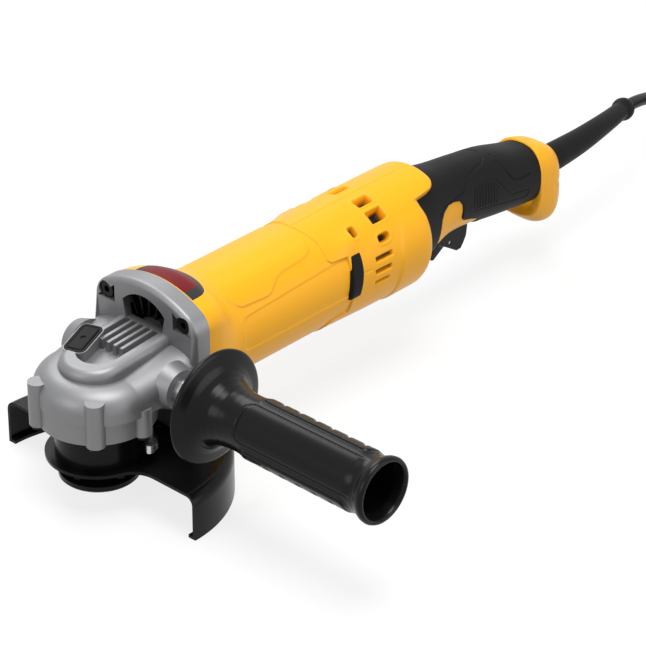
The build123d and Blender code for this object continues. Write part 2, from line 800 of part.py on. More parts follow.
stud_end_y = -boss_y + stud_depth - 1
stud_seat_y = grip_start_y + 4
with BuildPart() as side_handle_stud:
    revolve(handle_turned([(stud_end_y, 0), (stud_end_y, stud_r - 1), (stud_end_y - 1, stud_r),
                           (stud_seat_y, stud_r),
                           (stud_seat_y, 0)]), axis=handle_axis)
finish(side_handle_stud, "side_handle_stud")

with BuildPart() as side_handle_grip:
    with BuildSketch(Plane.YZ.offset(handle_x)):
        with BuildLine():
            TangentArc((horn_y, axis_z + hub_r), (rim_y - 2.6, axis_z + rim_r - 1.2), tangent=(1, 0))
            Polyline((rim_y - 2.6, axis_z + rim_r - 1.2), (rim_y - 2.2, axis_z + rim_r),
                     (rim_y - 0.8, axis_z + rim_r), (rim_y, axis_z + rim_r - 0.8),
                     (rim_y, axis_z + stud_r + seat_gap),
                     (stud_seat_y, axis_z + stud_r + seat_gap), (stud_seat_y, axis_z),
                     (grip_start_y - 6, axis_z), (grip_start_y - 6, axis_z + handle_bore_r),
                     (handle_end_y + 6, axis_z + handle_bore_r + 0.4),
                     (handle_end_y, axis_z + handle_end_r - 2.6),
                     (handle_end_y, axis_z + handle_end_r - 0.8),
                     (handle_end_y + 1.2, axis_z + handle_end_r),
                     (handle_end_y + 3.5, axis_z + handle_end_r - 0.3),
                     (handle_end_y + 7, axis_z + grip_r + 0.2),
                     (grip_start_y, axis_z + grip_r), (grip_start_y + 3, axis_z + hub_r),
                     (horn_y, axis_z + hub_r))
        make_face()
    revolve(axis=handle_axis)
    pad_long = grip_start_y - handle_end_y - 20
    for turn in (0, 180):
        pad_face = handle_turned([(grip_start_y - 4, grip_r - 0.5), (grip_start_y - 4, grip_r + pad_rise),
                                  (grip_start_y - 4 - pad_long, grip_r + pad_rise),
                                  (grip_start_y - 4 - pad_long, grip_r - 0.5)])
        revolve(pad_face.rotate(handle_axis, turn - 32), axis=handle_axis, revolution_arc=64)
    for notch in range(pad_notches):
        notch_y = grip_start_y - 10 - notch * (pad_long - 12) / (pad_notches - 1)
        for up in (1, -1):
            with BuildSketch(Plane((handle_x, notch_y, axis_z + up * (grip_r + 0.1)), x_dir=(1, 0.35, 0),
                                   z_dir=(0, 0, up))):
                Rectangle(9, 1.4)
            extrude(amount=3, mode=Mode.SUBTRACT)
finish(side_handle_grip, "side_handle_grip")

# Motor housing
bore_r = housing_r - housing_wall
with BuildPart() as side_tongues:
    revolve(turned([(seam_x, spigot_r - 0.5), (seam_x, housing_r), (tongue_x - joint_gap, housing_r),
                    (tongue_x - joint_gap, spigot_r - 0.5)]), axis=motor_axis)
    with BuildSketch(Plane.XZ):
        with Locations(((seam_x + tongue_x) / 2, axis_z)):
            Rectangle(tongue_x, 2 * (tongue_half - joint_gap))
    extrude(amount=2 * housing_r, both=True, mode=Mode.INTERSECT)

with BuildPart() as motor_housing:
    round_half = housing_r + 0.1
    loft([arched(housing_x, flange_half_w - 0.5, flange_top_z - 0.5, flange_arch_r, flange_top_corner,
                 flange_low_z + 0.5, flange_corner + 3),
          arched(housing_x + 10, flange_half_w - 1.7, flange_top_z - 2.2, flange_arch_r - 12,
                 flange_top_corner + 7,
                 flange_low_z + 1.7, flange_corner + 8),
          arched(housing_x + 27, round_half, axis_z + round_half, round_half + 0.3, round_half - 0.3,
                 axis_z - round_half, round_half - 0.5)])
    revolve(turned([(housing_x + 27, 0), (housing_x + 27, housing_r), (seam_x, housing_r),
                    (seam_x, spigot_r),
                    (housing_end_x, spigot_r), (housing_end_x, 0)]), axis=motor_axis)
    add(side_tongues.part)
    revolve(turned([(housing_x, 0), (housing_x, bore_r), (housing_end_x - 3, bore_r),
                    (housing_end_x - 3, 0)]),
            axis=motor_axis, mode=Mode.SUBTRACT)
    revolve(turned([(housing_end_x - 3, shaft_r), (housing_end_x - 3, rear_bearing_r + 2.5),
                    (rear_bearing_x + rear_bearing_long + 1.5, rear_bearing_r + 2.5),
                    (rear_bearing_x + rear_bearing_long + 1.5, shaft_r)]), axis=motor_axis)
    revolve(turned([(rear_bearing_x, 0), (rear_bearing_x, rear_bearing_r + seat_gap),
                    (rear_bearing_x + rear_bearing_long, rear_bearing_r + seat_gap),
                    (rear_bearing_x + rear_bearing_long, 0)]), axis=motor_axis, mode=Mode.SUBTRACT)
    with BuildSketch(Plane.YZ.offset(housing_end_x)):
        with Locations((0, axis_z)):
            Circle(shaft_r + 1)
            with PolarLocations(19.5, 6):
                SlotOverall(10, 8, rotation=90)
    extrude(amount=-4, mode=Mode.SUBTRACT)
    with BuildSketch(Plane.YZ.offset(housing_x)):
        with Locations(*case_screw_spots):
            Circle(case_screw_r + seat_gap)
    extrude(amount=10, mode=Mode.SUBTRACT)
finish(motor_housing, "motor_housing")

# Armature
with BuildPart() as armature_shaft:
    revolve(turned([(11.5, 0), (11.5, pinion_shaft_r - 1), (12, pinion_shaft_r - 0.6),
                    (24.5, pinion_shaft_r - 0.6),
                    (24.5, pinion_shaft_r + 1), (front_bearing_x, pinion_shaft_r + 1),
                    (front_bearing_x, shaft_r),
                    (housing_end_x - 3, shaft_r), (housing_end_x - 3, pinion_shaft_r),
                    (rear_bearing_x + rear_bearing_long, pinion_shaft_r),
                    (rear_bearing_x + rear_bearing_long, 0)]),
            axis=motor_axis)
finish(armature_shaft, "armature_shaft")

with BuildPart() as front_bearing:
    revolve(turned([(front_bearing_x + 0.2, shaft_r + running_gap),
                    (front_bearing_x + 0.2, front_bearing_r),
                    (front_bearing_x + front_bearing_long, front_bearing_r),
                    (front_bearing_x + front_bearing_long, shaft_r + running_gap)]), axis=motor_axis)
finish(front_bearing, "front_bearing")

with BuildPart() as rear_bearing:
    revolve(turned([(rear_bearing_x + 0.2, pinion_shaft_r + running_gap),
                    (rear_bearing_x + 0.2, rear_bearing_r),
                    (rear_bearing_x + rear_bearing_long - 0.2, rear_bearing_r),
                    (rear_bearing_x + rear_bearing_long - 0.2, pinion_shaft_r + running_gap)]),
            axis=motor_axis)
finish(rear_bearing, "rear_bearing")

with BuildPart() as cooling_fan:
    revolve(turned([(fan_x, shaft_r + seat_gap), (fan_x, shaft_r + 3), (fan_x + fan_long - 2, 12),
                    (fan_x + fan_long - 2, fan_r), (fan_x + fan_long, fan_r),
                    (fan_x + fan_long, shaft_r + seat_gap)]),
            axis=motor_axis)
    with BuildSketch(Plane.YZ.offset(fan_x + fan_long - 2)):
        with Locations((0, axis_z)):
            with PolarLocations((fan_r + 11) / 2, fan_blades):
                Rectangle(fan_r - 12, 1.6, rotation=18)
    extrude(amount=-fan_long + 4)
finish(cooling_fan, "cooling_fan")

with BuildPart() as armature_core:
    with BuildSketch(Plane.YZ.offset(core_x)):
        with Locations((0, axis_z)):
            Circle(core_r)
            Circle(shaft_r + seat_gap, mode=Mode.SUBTRACT)
            with PolarLocations((core_r + 1 + slot_floor_r) / 2, core_slots):
                Rectangle(core_r + 1 - slot_floor_r, slot_wide, mode=Mode.SUBTRACT)
    extrude(amount=core_long)
finish(armature_core, "armature_core")

with BuildPart() as armature_windings:
    bar_top_r = core_r - 1.5
    with BuildSketch(Plane.YZ.offset(core_x)):
        with Locations((0, axis_z)):
            with PolarLocations((bar_top_r + slot_floor_r) / 2, core_slots):
                Rectangle(bar_top_r - slot_floor_r - 0.3, slot_wide - 0.3)
    extrude(amount=core_long)
    for x in (core_x - winding_long, core_x + core_long):
        revolve(turned([(x, shaft_r + 1), (x, bar_top_r - 2), (x + 2, bar_top_r),
                        (x + winding_long - 2, bar_top_r),
                        (x + winding_long, bar_top_r - 2), (x + winding_long, shaft_r + 1)])
                if x > core_x else
                turned([(x, shaft_r + 1), (x, bar_top_r - 2), (x + 2, bar_top_r),
                        (x + winding_long, bar_top_r),
                        (x + winding_long, shaft_r + 1)]), axis=motor_axis)
finish(armature_windings, "armature_windings")

with BuildPart() as commutator:
    revolve(turned([(commutator_x, shaft_r + seat_gap), (commutator_x, commutator_r + 1.5),
                    (commutator_x + 1.8, commutator_r + 1.5), (commutator_x + 1.8, commutator_r),
                    (commutator_x + commutator_long, commutator_r),
                    (commutator_x + commutator_long, shaft_r + seat_gap)]), axis=motor_axis)
    with BuildSketch(Plane.YZ.offset(commutator_x)):
        with Locations((0, axis_z)):
            with PolarLocations(commutator_r + 0.3, commutator_bars):
                Rectangle(3, 0.6)
    extrude(amount=commutator_long, mode=Mode.SUBTRACT)
finish(commutator, "commutator")

# Field
field_bore_r = core_r + air_gap
field_x = core_x - 2
field_long = core_long + 4
window_half = 30
with BuildPart() as field_core:
    with BuildSketch(Plane.YZ.offset(field_x)):
        with Locations((0, axis_z)):
            Circle(bore_r - seat_gap)
            Circle(field_bore_r, mode=Mode.SUBTRACT)
            for side in (0, 180):
                with Locations(Rotation(0, 0, side)):
                    with Locations((field_bore_r + 1, 0)):
                        Rectangle(6.4, 2 * field_bore_r * sin(radians(window_half)), mode=Mode.SUBTRACT)
    extrude(amount=field_long)
finish(field_core, "field_core")

end_turn = 7.0
with BuildPart() as field_windings:
    for up in (1, -1):
        with BuildSketch(Plane.YZ.offset(field_x - end_turn)):
            with Locations((0, axis_z)):
                Circle(field_bore_r + 4)
                Circle(field_bore_r + 0.4, mode=Mode.SUBTRACT)
            with Locations((0, axis_z - up * (bore_r - 0.3))):
                Rectangle(2 * bore_r, 2 * bore_r, mode=Mode.SUBTRACT)
        extrude(amount=field_long + 2 * end_turn)
    with BuildSketch(Plane.YZ.offset(field_x)):
        with Locations((0, axis_z)):
            with GridLocations(1, 2 * bore_r + 2 * (field_bore_r * sin(radians(window_half)) - 0.4), 1, 2):
                Rectangle(2 * bore_r, 2 * bore_r)
    extrude(amount=field_long, mode=Mode.SUBTRACT)
finish(field_windings, "field_windings")

# Brushes and their holders, one on each side
holder_end = sqrt(bore_r**2 - (brush_high / 2 + holder_wall) ** 2) - 0.1
with BuildPart() as brush_holders:
    for side in (1, -1):
        with BuildSketch(Plane.XZ.offset(side * holder_end)):
            with Locations((brush_x, axis_z)):
                Rectangle(brush_wide + 2 * holder_wall, brush_high + 2 * holder_wall)
        extrude(amount=-side * (holder_end - commutator_r - 2.3))
        with BuildSketch(Plane.XZ.offset(side * (commutator_r + 2))):
            with Locations((brush_x, axis_z)):
                Rectangle(brush_wide + 0.3, brush_high + 0.3)
        extrude(amount=side * (holder_end - commutator_r - 4), mode=Mode.SUBTRACT)
finish(brush_holders, "brush_holders")

with BuildPart() as carbon_brushes:
    for side in (1, -1):
        with BuildSketch(Plane.XZ.offset(side * (commutator_r + joint_gap))):
            with Locations((brush_x, axis_z)):
                Rectangle(brush_wide, brush_high)
        extrude(amount=side * (holder_end - commutator_r - 2.6))
finish(carbon_brushes, "carbon_brushes")


# Rear housing and handle
def handle_loft(inset):
    # rounded sections carried along the handle, drawn in by the inset
    with BuildPart() as form:
        for x, centre_z, half_w, half_h in handle_sections:
            with BuildSketch(Plane.YZ.offset(x)):
                with Locations((0, centre_z)):
                    RectangleRounded(2 * (half_w - inset), 2 * (half_h - inset),
                                     section_round * half_w - inset)
        loft()
    return form.part


def rear_outline(grow):
    # outer line of the rear housing, rounded in to a flat end
    full_r = rear_r + rear_swell + grow
    with BuildSketch(Plane.XZ) as face:
        with BuildLine():
            Polyline((seam_x, axis_z), (seam_x, axis_z + rear_r - 0.4 + grow),
                     (housing_end_x, axis_z + rear_r + grow),
                     (housing_end_x + 16, axis_z + full_r), (rear_end_x - rear_corner, axis_z + full_r))
            TangentArc((rear_end_x - rear_corner, axis_z + full_r),
                       (rear_end_x + grow, axis_z + full_r - rear_corner),
                       tangent=(1, 0))
            Polyline((rear_end_x + grow, axis_z + full_r - rear_corner), (rear_end_x + grow, axis_z),
                     (seam_x, axis_z))
        make_face()
    return face.sketch


def hood(grow):
    # cap carried back from the rear housing over the top of the handle
    full_r = rear_r + rear_swell + grow
    end_x = hood_end_x + grow
    with BuildPart() as form:
        revolve(turned([(rear_end_x - 2 * rear_corner, hood_inner_r - grow),
                        (rear_end_x - 2 * rear_corner, full_r),
                        (end_x - 3, full_r), (end_x - 0.9, full_r - 0.9), (end_x, full_r - 3),
                        (end_x, hood_inner_r - grow)]), axis=motor_axis)
        with BuildSketch(Plane.XY.offset(hood_low_z - grow)):
            with Locations((end_x - 30, 0)):
                RectangleRounded(60, 2 * (hood_half + grow), hood_round)
        extrude(amount=rear_r, mode=Mode.INTERSECT)
    return form.part


def bumper_ring(grow):
    # strip let into each side of the rear housing
    with BuildPart() as form:
        revolve(turned([(bumper_x - grow, bumper_floor_r - grow), (bumper_x - grow, bumper_r),
                        (bumper_x + bumper_long + grow, bumper_r),
                        (bumper_x + bumper_long + grow, bumper_floor_r - grow)]), axis=motor_axis)
        with BuildSketch(Plane.XZ):
            with Locations((bumper_x, bumper_z)):
                Rectangle(4 * bumper_long, 2 * (bumper_half + grow))
        extrude(amount=2 * rear_r, both=True, mode=Mode.INTERSECT)
    return form.part


with BuildPart() as tail:
    with BuildSketch(Plane.XZ) as tail_side:
        with BuildLine():
            Polyline((tail_front_x, 54.5), (346, 53.5), (358, 46), (tail_end_x, 36), (tail_end_x, 24),
                     (363, 8), (357, 3),
                     (346, 3), (330, 12), (324, 19), (tail_front_x, 24), close=True)
        make_face()
        fillet(tail_side.vertices().filter_by_position(Axis.X, 340, tail_end_x + 1), tail_round - 1.5)
    extrude(amount=tail_half, both=True)
    fillet(tail.edges().filter_by_position(Axis.Y, tail_half - 0.01, tail_half + 0.01)
           + tail.edges().filter_by_position(Axis.Y, -tail_half - 0.01, -tail_half + 0.01), tail_round / 2)

window_points = ((244.5, 18), (245.5, 46), (249, 51), (258, 52), (263.5, 46.5), (262.5, 37), (276, 33.5),
                 (280, 30), (279, 18))
with BuildPart() as window_fill:
    add(handle_loft(0))
    extrude(side_face(window_points), amount=40, both=True, mode=Mode.INTERSECT)

inner_inset = rubber_thick + shell_wall
clamp_x = 342.0
clamp_spread = 7.2
with BuildPart() as cavity:
    revolve(turned([(seam_x - 1, 0), (seam_x - 1, spigot_r + 0.15), (housing_end_x + 14, spigot_r + 0.15),
                    (housing_end_x + 17, rear_r - rear_wall), (rear_end_x - 4, rear_r - rear_wall),
                    (rear_end_x - 4, 0)]), axis=motor_axis)
    add(handle_loft(inner_inset))
    with BuildSketch(Plane.XY.offset(24)):
        with Locations((clamp_x, 0)):
            Rectangle(16, 26)
    extrude(amount=22)
    with BuildSketch(Plane.YZ.offset(clamp_x)):
        with Locations((0, boot_z)):
            Circle(11)
    extrude(amount=tail_end_x - clamp_x - 4.5)
    for x in (module_x + 6, module_x + module_long - 8):
        with BuildSketch(Plane.YZ.offset(x)):
            with Locations((0, axis_z)):
                Circle(rear_r)
        extrude(amount=web_thick, mode=Mode.SUBTRACT)
    for x in (switch_x + 10, switch_x + switch_long - 8):
        with BuildSketch(Plane.YZ.offset(x)):
            with Locations((0, axis_z)):
                Circle(rear_r)
        extrude(amount=web_thick, mode=Mode.SUBTRACT)
    with BuildSketch(Plane.YZ.offset(module_x)):
        with Locations((0, module_low_z + module_high / 2)):
            Rectangle(2 * module_half + 0.4, module_high + 0.4)
    extrude(amount=module_long)
    with BuildSketch(Plane.YZ.offset(switch_x)):
        with Locations((0, switch_low_z + switch_high / 2)):
            Rectangle(2 * switch_half + 0.4, switch_high + 0.4)
    extrude(amount=switch_long)
    with BuildSketch(Plane.XZ):
        with Locations(*post_places):
            Circle(post_r)
    extrude(amount=rear_r, both=True, mode=Mode.SUBTRACT)
    with BuildSketch(Plane.XY.offset(31.2)):
        with Locations((clamp_x, clamp_spread), (clamp_x, -clamp_spread)):
            Circle(2.6)
    extrude(amount=20, mode=Mode.SUBTRACT)

# vents: X, angle from the top, length along X, width round the housing
vents = ((188.5, 15.5, 9, 5.5), (188.5, 35, 9, 6), (184.5, 57, 7, 5), (182.5, 74, 9, 2.4),
         (181.5, 86, 9, 2.4), (180.5, 97, 8, 2))
trigger_slot_x = (250.0, 280.0)
with BuildPart() as handle_body:
    revolve(rear_outline(0), axis=motor_axis)
    add(hood(0))
    add(handle_loft(rubber_thick))
    add(window_fill.part)
    add(tail.part)
    add(cavity.part, mode=Mode.SUBTRACT)
    with BuildSketch(Plane.XY.offset(8)):
        with Locations((sum(trigger_slot_x) / 2, 0)):
            Rectangle(trigger_slot_x[1] - trigger_slot_x[0], 2 * (trigger_half + joint_gap))
    extrude(amount=switch_low_z - 8, mode=Mode.SUBTRACT)
    with BuildSketch(Plane.XZ):
        with Locations(((seam_x + tongue_x) / 2, axis_z)):
            Rectangle(tongue_x - seam_x, 2 * tongue_half)
    extrude(amount=40, both=True, mode=Mode.SUBTRACT)
    add(bumper_ring(skin_gap), mode=Mode.SUBTRACT)
    for x, angle, long, wide in vents:
        for side in (1, -1):
            with BuildSketch(radial_plane(x, side * angle).offset(rear_r - 6)):
                Rectangle(long, wide)
            extrude(amount=10, mode=Mode.SUBTRACT)
    with BuildSketch(Plane.YZ.offset(tail_end_x - 6)):
        with Locations((0, boot_z)):
            Circle(boot_r + joint_gap)
    extrude(amount=8, mode=Mode.SUBTRACT)
    with BuildSketch(Plane.XZ):
        with Locations(trigger_pivot):
            Circle(trigger_pin_r + seat_gap)
    extrude(amount=trigger_pin_half + 0.1, both=True, mode=Mode.SUBTRACT)
    with BuildSketch(Plane.XY.offset(31)):
        with Locations((clamp_x, clamp_spread), (clamp_x, -clamp_spread)):
            Circle(screw_r + seat_gap)
    extrude(amount=10, mode=Mode.SUBTRACT)
    with BuildSketch(Plane.XZ.offset(8)):
        with Locations(*post_places):
            Circle(screw_r + seat_gap)
    extrude(amount=-16, mode=Mode.SUBTRACT)
    with BuildSketch(Plane.XZ.offset(-8)):
        with Locations(*post_places):
            Circle(screw_head_r + 0.3)
    extrude(amount=-40, mode=Mode.SUBTRACT)

for name, keep in (("handle_right_shell", Keep.TOP), ("handle_left_shell", Keep.BOTTOM)):
    with BuildPart() as half_shell:
        add(handle_body.part)
        split(bisect_by=Plane.XZ, keep=keep)
    finish(half_shell, name)

# Rubber grip in two halves, and the side strips
with BuildPart() as grip_body:
    add(handle_loft(0))
    add(handle_loft(rubber_thick - skin_gap), mode=Mode.SUBTRACT)
    revolve(rear_outline(skin_gap), axis=motor_axis, mode=Mode.SUBTRACT)
    add(hood(skin_gap), mode=Mode.SUBTRACT)
    extrude(side_face(window_points), amount=40, both=True, mode=Mode.SUBTRACT)
    add(tail.part, mode=Mode.SUBTRACT)
    split(bisect_by=Plane.YZ.offset(tail_front_x), keep=Keep.BOTTOM)
    with BuildSketch(Plane.XZ.offset(-8)):
        with Locations(*post_places):
            Circle(screw_head_r + 0.3)
    extrude(amount=-40, mode=Mode.SUBTRACT)

strip = bumper_ring(0)
for name, strip_name, keep in (("grip_right", "bumper_right", Keep.TOP),
                               ("grip_left", "bumper_left", Keep.BOTTOM)):
    with BuildPart() as half_grip:
        add(grip_body.part)
        split(bisect_by=Plane.XZ, keep=keep)
    finish(half_grip, name)
    with BuildPart() as half_strip:
        add(strip)
        split(bisect_by=Plane.XZ, keep=keep)
    finish(half_strip, strip_name)

with BuildPart() as handle_screws:
    with BuildSketch(Plane.XZ.offset(7.5)):
        with Locations(*post_places):
            Circle(screw_r)
    extrude(amount=-15.5)
    with BuildSketch(Plane.XZ.offset(-8)):
        with Locations(*post_places):
            Circle(screw_head_r)
    extrude(amount=-2.2)
finish(handle_screws, "handle_screws")

# Switch and speed control inside the handle
with BuildPart() as control_module:
    with BuildSketch(Plane.YZ.offset(module_x)):
        with Locations((0, module_low_z + module_high / 2)):
            Rectangle(2 * module_half, module_high)
    extrude(amount=module_long)
    with BuildSketch(Plane.YZ.offset(module_x)):
        with Locations((0, module_low_z + module_high / 2)):
            Rectangle(2 * module_half - 3, module_high - 3)
    extrude(amount=2, mode=Mode.SUBTRACT)
finish(control_module, "control_module")

with BuildPart() as switch_module:
    with BuildSketch(Plane.YZ.offset(switch_x)):
        with Locations((0, switch_low_z + switch_high / 2)):
            Rectangle(2 * switch_half, switch_high)
    extrude(amount=switch_long)
    chamfer(switch_module.faces().sort_by(Axis.X)[0].edges(), 1)
    with BuildSketch(Plane.YZ.offset(switch_x + switch_long)):
        with Locations((0, switch_low_z + switch_high - 4)):
            with GridLocations(7, 1, 2, 1):
                Rectangle(4, 1)
    extrude(amount=5)
finish(switch_module, "switch_module")

# Trigger, with the lock-off lever carried in its slot
trigger_points = ((251.5, 22.5), (251.5, 36), (259, 36), (277.5, 31), (277.2, 25), (276.5, 20),
                  (274.5, 16.5), (272, 13.2),
                  (268.5, 13), (259, 19))
lever_slot_end_x = 266.5
with BuildPart() as trigger:
    extrude(side_face(trigger_points), amount=trigger_half, both=True)
    fillet(trigger.edges().filter_by_position(Axis.Y, trigger_half - 0.01, trigger_half + 0.01)
           + trigger.edges().filter_by_position(Axis.Y, -trigger_half - 0.01, -trigger_half + 0.01), 0.8)
    with BuildSketch(Plane.XY.offset(10)):
        with Locations(((trigger_slot_x[0] + lever_slot_end_x) / 2, 0)):
            Rectangle(lever_slot_end_x - trigger_slot_x[0], 2 * (lock_lever_half + joint_gap))
    extrude(amount=15.5, mode=Mode.SUBTRACT)
    with BuildSketch(Plane.XZ):
        with Locations(trigger_pivot):
            Circle(trigger_pin_r + running_gap)
        with Locations(lever_pivot):
            Circle(lock_lever_pin_r + seat_gap)
    extrude(amount=trigger_half, both=True, mode=Mode.SUBTRACT)
finish(trigger, "trigger")

with BuildPart() as trigger_pin:
    with BuildSketch(Plane.XZ):
        with Locations(trigger_pivot):
            Circle(trigger_pin_r)
    extrude(amount=trigger_pin_half, both=True)
finish(trigger_pin, "trigger_pin")

with BuildPart() as lock_lever:
    with BuildSketch(Plane.XZ):
        with Locations(lever_pivot):
            Circle(3.4)
        with Locations((253.2, 13.6)):
            Circle(2.2)
        make_hull()
        with Locations(lever_pivot):
            Circle(lock_lever_pin_r + running_gap, mode=Mode.SUBTRACT)
    extrude(amount=lock_lever_half, both=True)
finish(lock_lever, "lock_lever")

with BuildPart() as lock_lever_pin:
    with BuildSketch(Plane.XZ):
        with Locations(lever_pivot):
            Circle(lock_lever_pin_r)
    extrude(amount=trigger_half - 0.5, both=True)
finish(lock_lever_pin, "lock_lever_pin")


# Cord, its boot and the clamp in the tail
def run_radii(points):
    # bend radius at each inner point, from the shorter run and the turn
    radii = []
    for before, here, after in zip(points, points[1:], points[2:]):
        run_in = Vector(*here) - Vector(*before)
        run_out = Vector(*after) - Vector(*here)
        half_turn = radians(run_in.get_angle(run_out)) / 2
        radii.append(0.45 * min(run_in.length, run_out.length) / tan(half_turn))
    return radii


def cord_run(points):
    with BuildLine() as path:
        FilletPolyline(*points, radius=run_radii(points))
    return path.wire()


def tube(path, radius):
    with BuildPart() as form:
        with BuildSketch(Plane(path @ 0, z_dir=path % 0)):
            Circle(radius)
        sweep(path=path)
    return form.part


lead_path = cord_run(lead_points)
with BuildPart() as cord_lead:
    add(tube(lead_path, cord_d / 2))
finish(cord_lead, "cord_lead")
print("lead radii", [round(r) for r in run_radii(lead_points)], "length", round(lead_path.length))
print("lead volume share", round(cord_lead.part.volume / (pi * cord_d**2 / 4 * lead_path.length), 4))

# radius of the boot at lengths along the cord
boot_sections = ((16, boot_r), (34, boot_r), (56, boot_r - 0.7), (80, boot_r - 1.4), (103, boot_r - 1.9))
bulb_at = 107.0
bulb_r = 6.6
with BuildPart() as cord_protector:
    for length, radius in boot_sections:
        share = length / lead_path.length
        with BuildSketch(Plane(lead_path @ share, z_dir=lead_path % share)):
            Circle(radius)
    loft()
    bulb_share = bulb_at / lead_path.length
    with Locations(Plane(lead_path @ bulb_share, z_dir=lead_path % bulb_share).location):
        Sphere(bulb_r)
    with BuildSketch(Plane.YZ.offset(tail_end_x - 9.5)):
        with Locations((0, boot_z)):
            Circle(boot_r + 3)
    extrude(amount=4)
    add(tube(lead_path, boot_bore_r), mode=Mode.SUBTRACT)
finish(cord_protector, "cord_protector")

clamp_half_x = 4.0
clamp_top_z = 31.2
clamp_high = 3.2
with BuildPart() as cord_clamp:
    with BuildSketch(Plane.XY.offset(clamp_top_z - clamp_high)):
        with Locations((clamp_x, 0)):
            RectangleRounded(2 * clamp_half_x, 2 * clamp_spread + 6, 1.5)
        with Locations((clamp_x, clamp_spread), (clamp_x, -clamp_spread)):
            Circle(screw_r + seat_gap, mode=Mode.SUBTRACT)
    extrude(amount=clamp_high)
    with BuildSketch(Plane.YZ.offset(clamp_x - clamp_half_x)):
        with Locations((0, boot_z)):
            Circle(cord_d / 2)
    extrude(amount=2 * clamp_half_x, mode=Mode.SUBTRACT)
finish(cord_clamp, "cord_clamp")

with BuildPart() as cord_clamp_screws:
    for side in (1, -1):
        with BuildSketch(Plane.XY.offset(clamp_top_z - clamp_high)):
            with Locations((clamp_x, side * clamp_spread)):
                Circle(screw_r)
        extrude(amount=12)
        with BuildSketch(Plane.XY.offset(clamp_top_z - clamp_high)):
            with Locations((clamp_x, side * clamp_spread)):
                Circle(screw_head_r - 0.3)
        extrude(amount=-1.8)
finish(cord_clamp_screws, "cord_clamp_screws")

# The rest of the cord: two layers of loops that spiral in, climb and spiral out again
coil_x, coil_y = coil_centre
coil_low_z = lead_points[-1][2]
coil_high_z = coil_low_z + coil_layer
coil_inner_r = coil_r - coil_half_turns * coil_pitch / 2
with BuildLine() as coil_line:
    Line(lead_points[-1], (coil_x, coil_y + coil_r, coil_low_z))
    for half in range(coil_half_turns):
        side = 1 if half % 2 == 0 else -1
        reach = coil_r - half * coil_pitch / 2
        TangentArc((coil_x, coil_y + side * reach, coil_low_z),
                   (coil_x, coil_y - side * (reach - coil_pitch / 2), coil_low_z), tangent=(side, 0, 0))
    half_lift = coil_layer / 2
    climb_spot = (coil_x + sqrt(coil_inner_r**2 + half_lift**2), coil_y, coil_low_z + half_lift)
    TangentArc((coil_x, coil_y + coil_inner_r, coil_low_z), climb_spot, tangent=(1, 0, 0))
    TangentArc(climb_spot, (coil_x, coil_y - coil_inner_r, coil_high_z),
               tangent=(0, -coil_inner_r, half_lift))
    for half in range(coil_half_turns):
        side = -1 if half % 2 == 0 else 1
        reach = coil_inner_r + half * coil_pitch / 2
        TangentArc((coil_x, coil_y + side * reach, coil_high_z),
                   (coil_x, coil_y - side * (reach + coil_pitch / 2), coil_high_z), tangent=(side, 0, 0))
    coil_end = (coil_x - cord_d, coil_y - coil_r, coil_high_z)
    Line((coil_x, coil_y - coil_r, coil_high_z), coil_end)
coil_path = coil_line.wire()
with BuildPart() as cord_coil:
    add(tube(coil_path, cord_d / 2))
finish(cord_coil, "cord_coil")
samples = [coil_path @ (i / 900) for i in range(901)]
apart = int(3 * cord_d / coil_path.length * 900)
least = min((samples[i] - samples[j]).length for i in range(901) for j in range(i + apart, 901))
print("coil length", round(coil_path.length), "least gap", round(least - cord_d, 2))
print("coil volume share", round(cord_coil.part.volume / (pi * cord_d**2 / 4 * coil_path.length), 4))

plug_x = 556.0
plug_high = 17.0
plug_wide = 24.0
plug_long = 34.0
plug_z = floor_z + plug_high / 2
plug_y = coil_end[1] - 0.6
tail_points = (coil_end, (592, coil_end[1], coil_high_z), (574, plug_y, plug_z), (plug_x, plug_y, plug_z))
tail_path = cord_run(tail_points)
with BuildPart() as cord_tail:
    add(tube(tail_path, cord_d / 2))
finish(cord_tail, "cord_tail")
print("tail radii", [round(r) for r in run_radii(tail_points)], "length", round(tail_path.length))

with BuildPart() as plug_body:
    for x, wide, high in ((plug_x, 12.0, 11.0), (plug_x - 10, 15.0, 13.0),
                          (plug_x - 18, plug_wide, plug_high),
                          (plug_x - plug_long, plug_wide, plug_high)):
        with BuildSketch(Plane.YZ.offset(x)):
            with Locations((plug_y, plug_z)):
                RectangleRounded(wide, high, 4)
    loft(ruled=True)
    with BuildSketch(Plane.YZ.offset(plug_x - plug_long)):
        with Locations((plug_y, plug_z)):
            with GridLocations(12.7, 1, 2, 1):
                Rectangle(1.6, 6.4)
    extrude(amount=10, mode=Mode.SUBTRACT)
finish(plug_body, "plug_body")

with BuildPart() as plug_blades:
    with BuildSketch(Plane.YZ.offset(plug_x - plug_long + 10)):
        with Locations((plug_y, plug_z)):
            with GridLocations(12.7, 1, 2, 1):
                Rectangle(1.5, 6.3)
    extrude(amount=-27.5)
    with BuildSketch(Plane.XZ.offset(-plug_y)):
        with Locations((plug_x - plug_long - 13, plug_z)):
            Circle(1.6)
    extrude(amount=plug_wide, both=True, mode=Mode.SUBTRACT)
finish(plug_blades, "plug_blades")

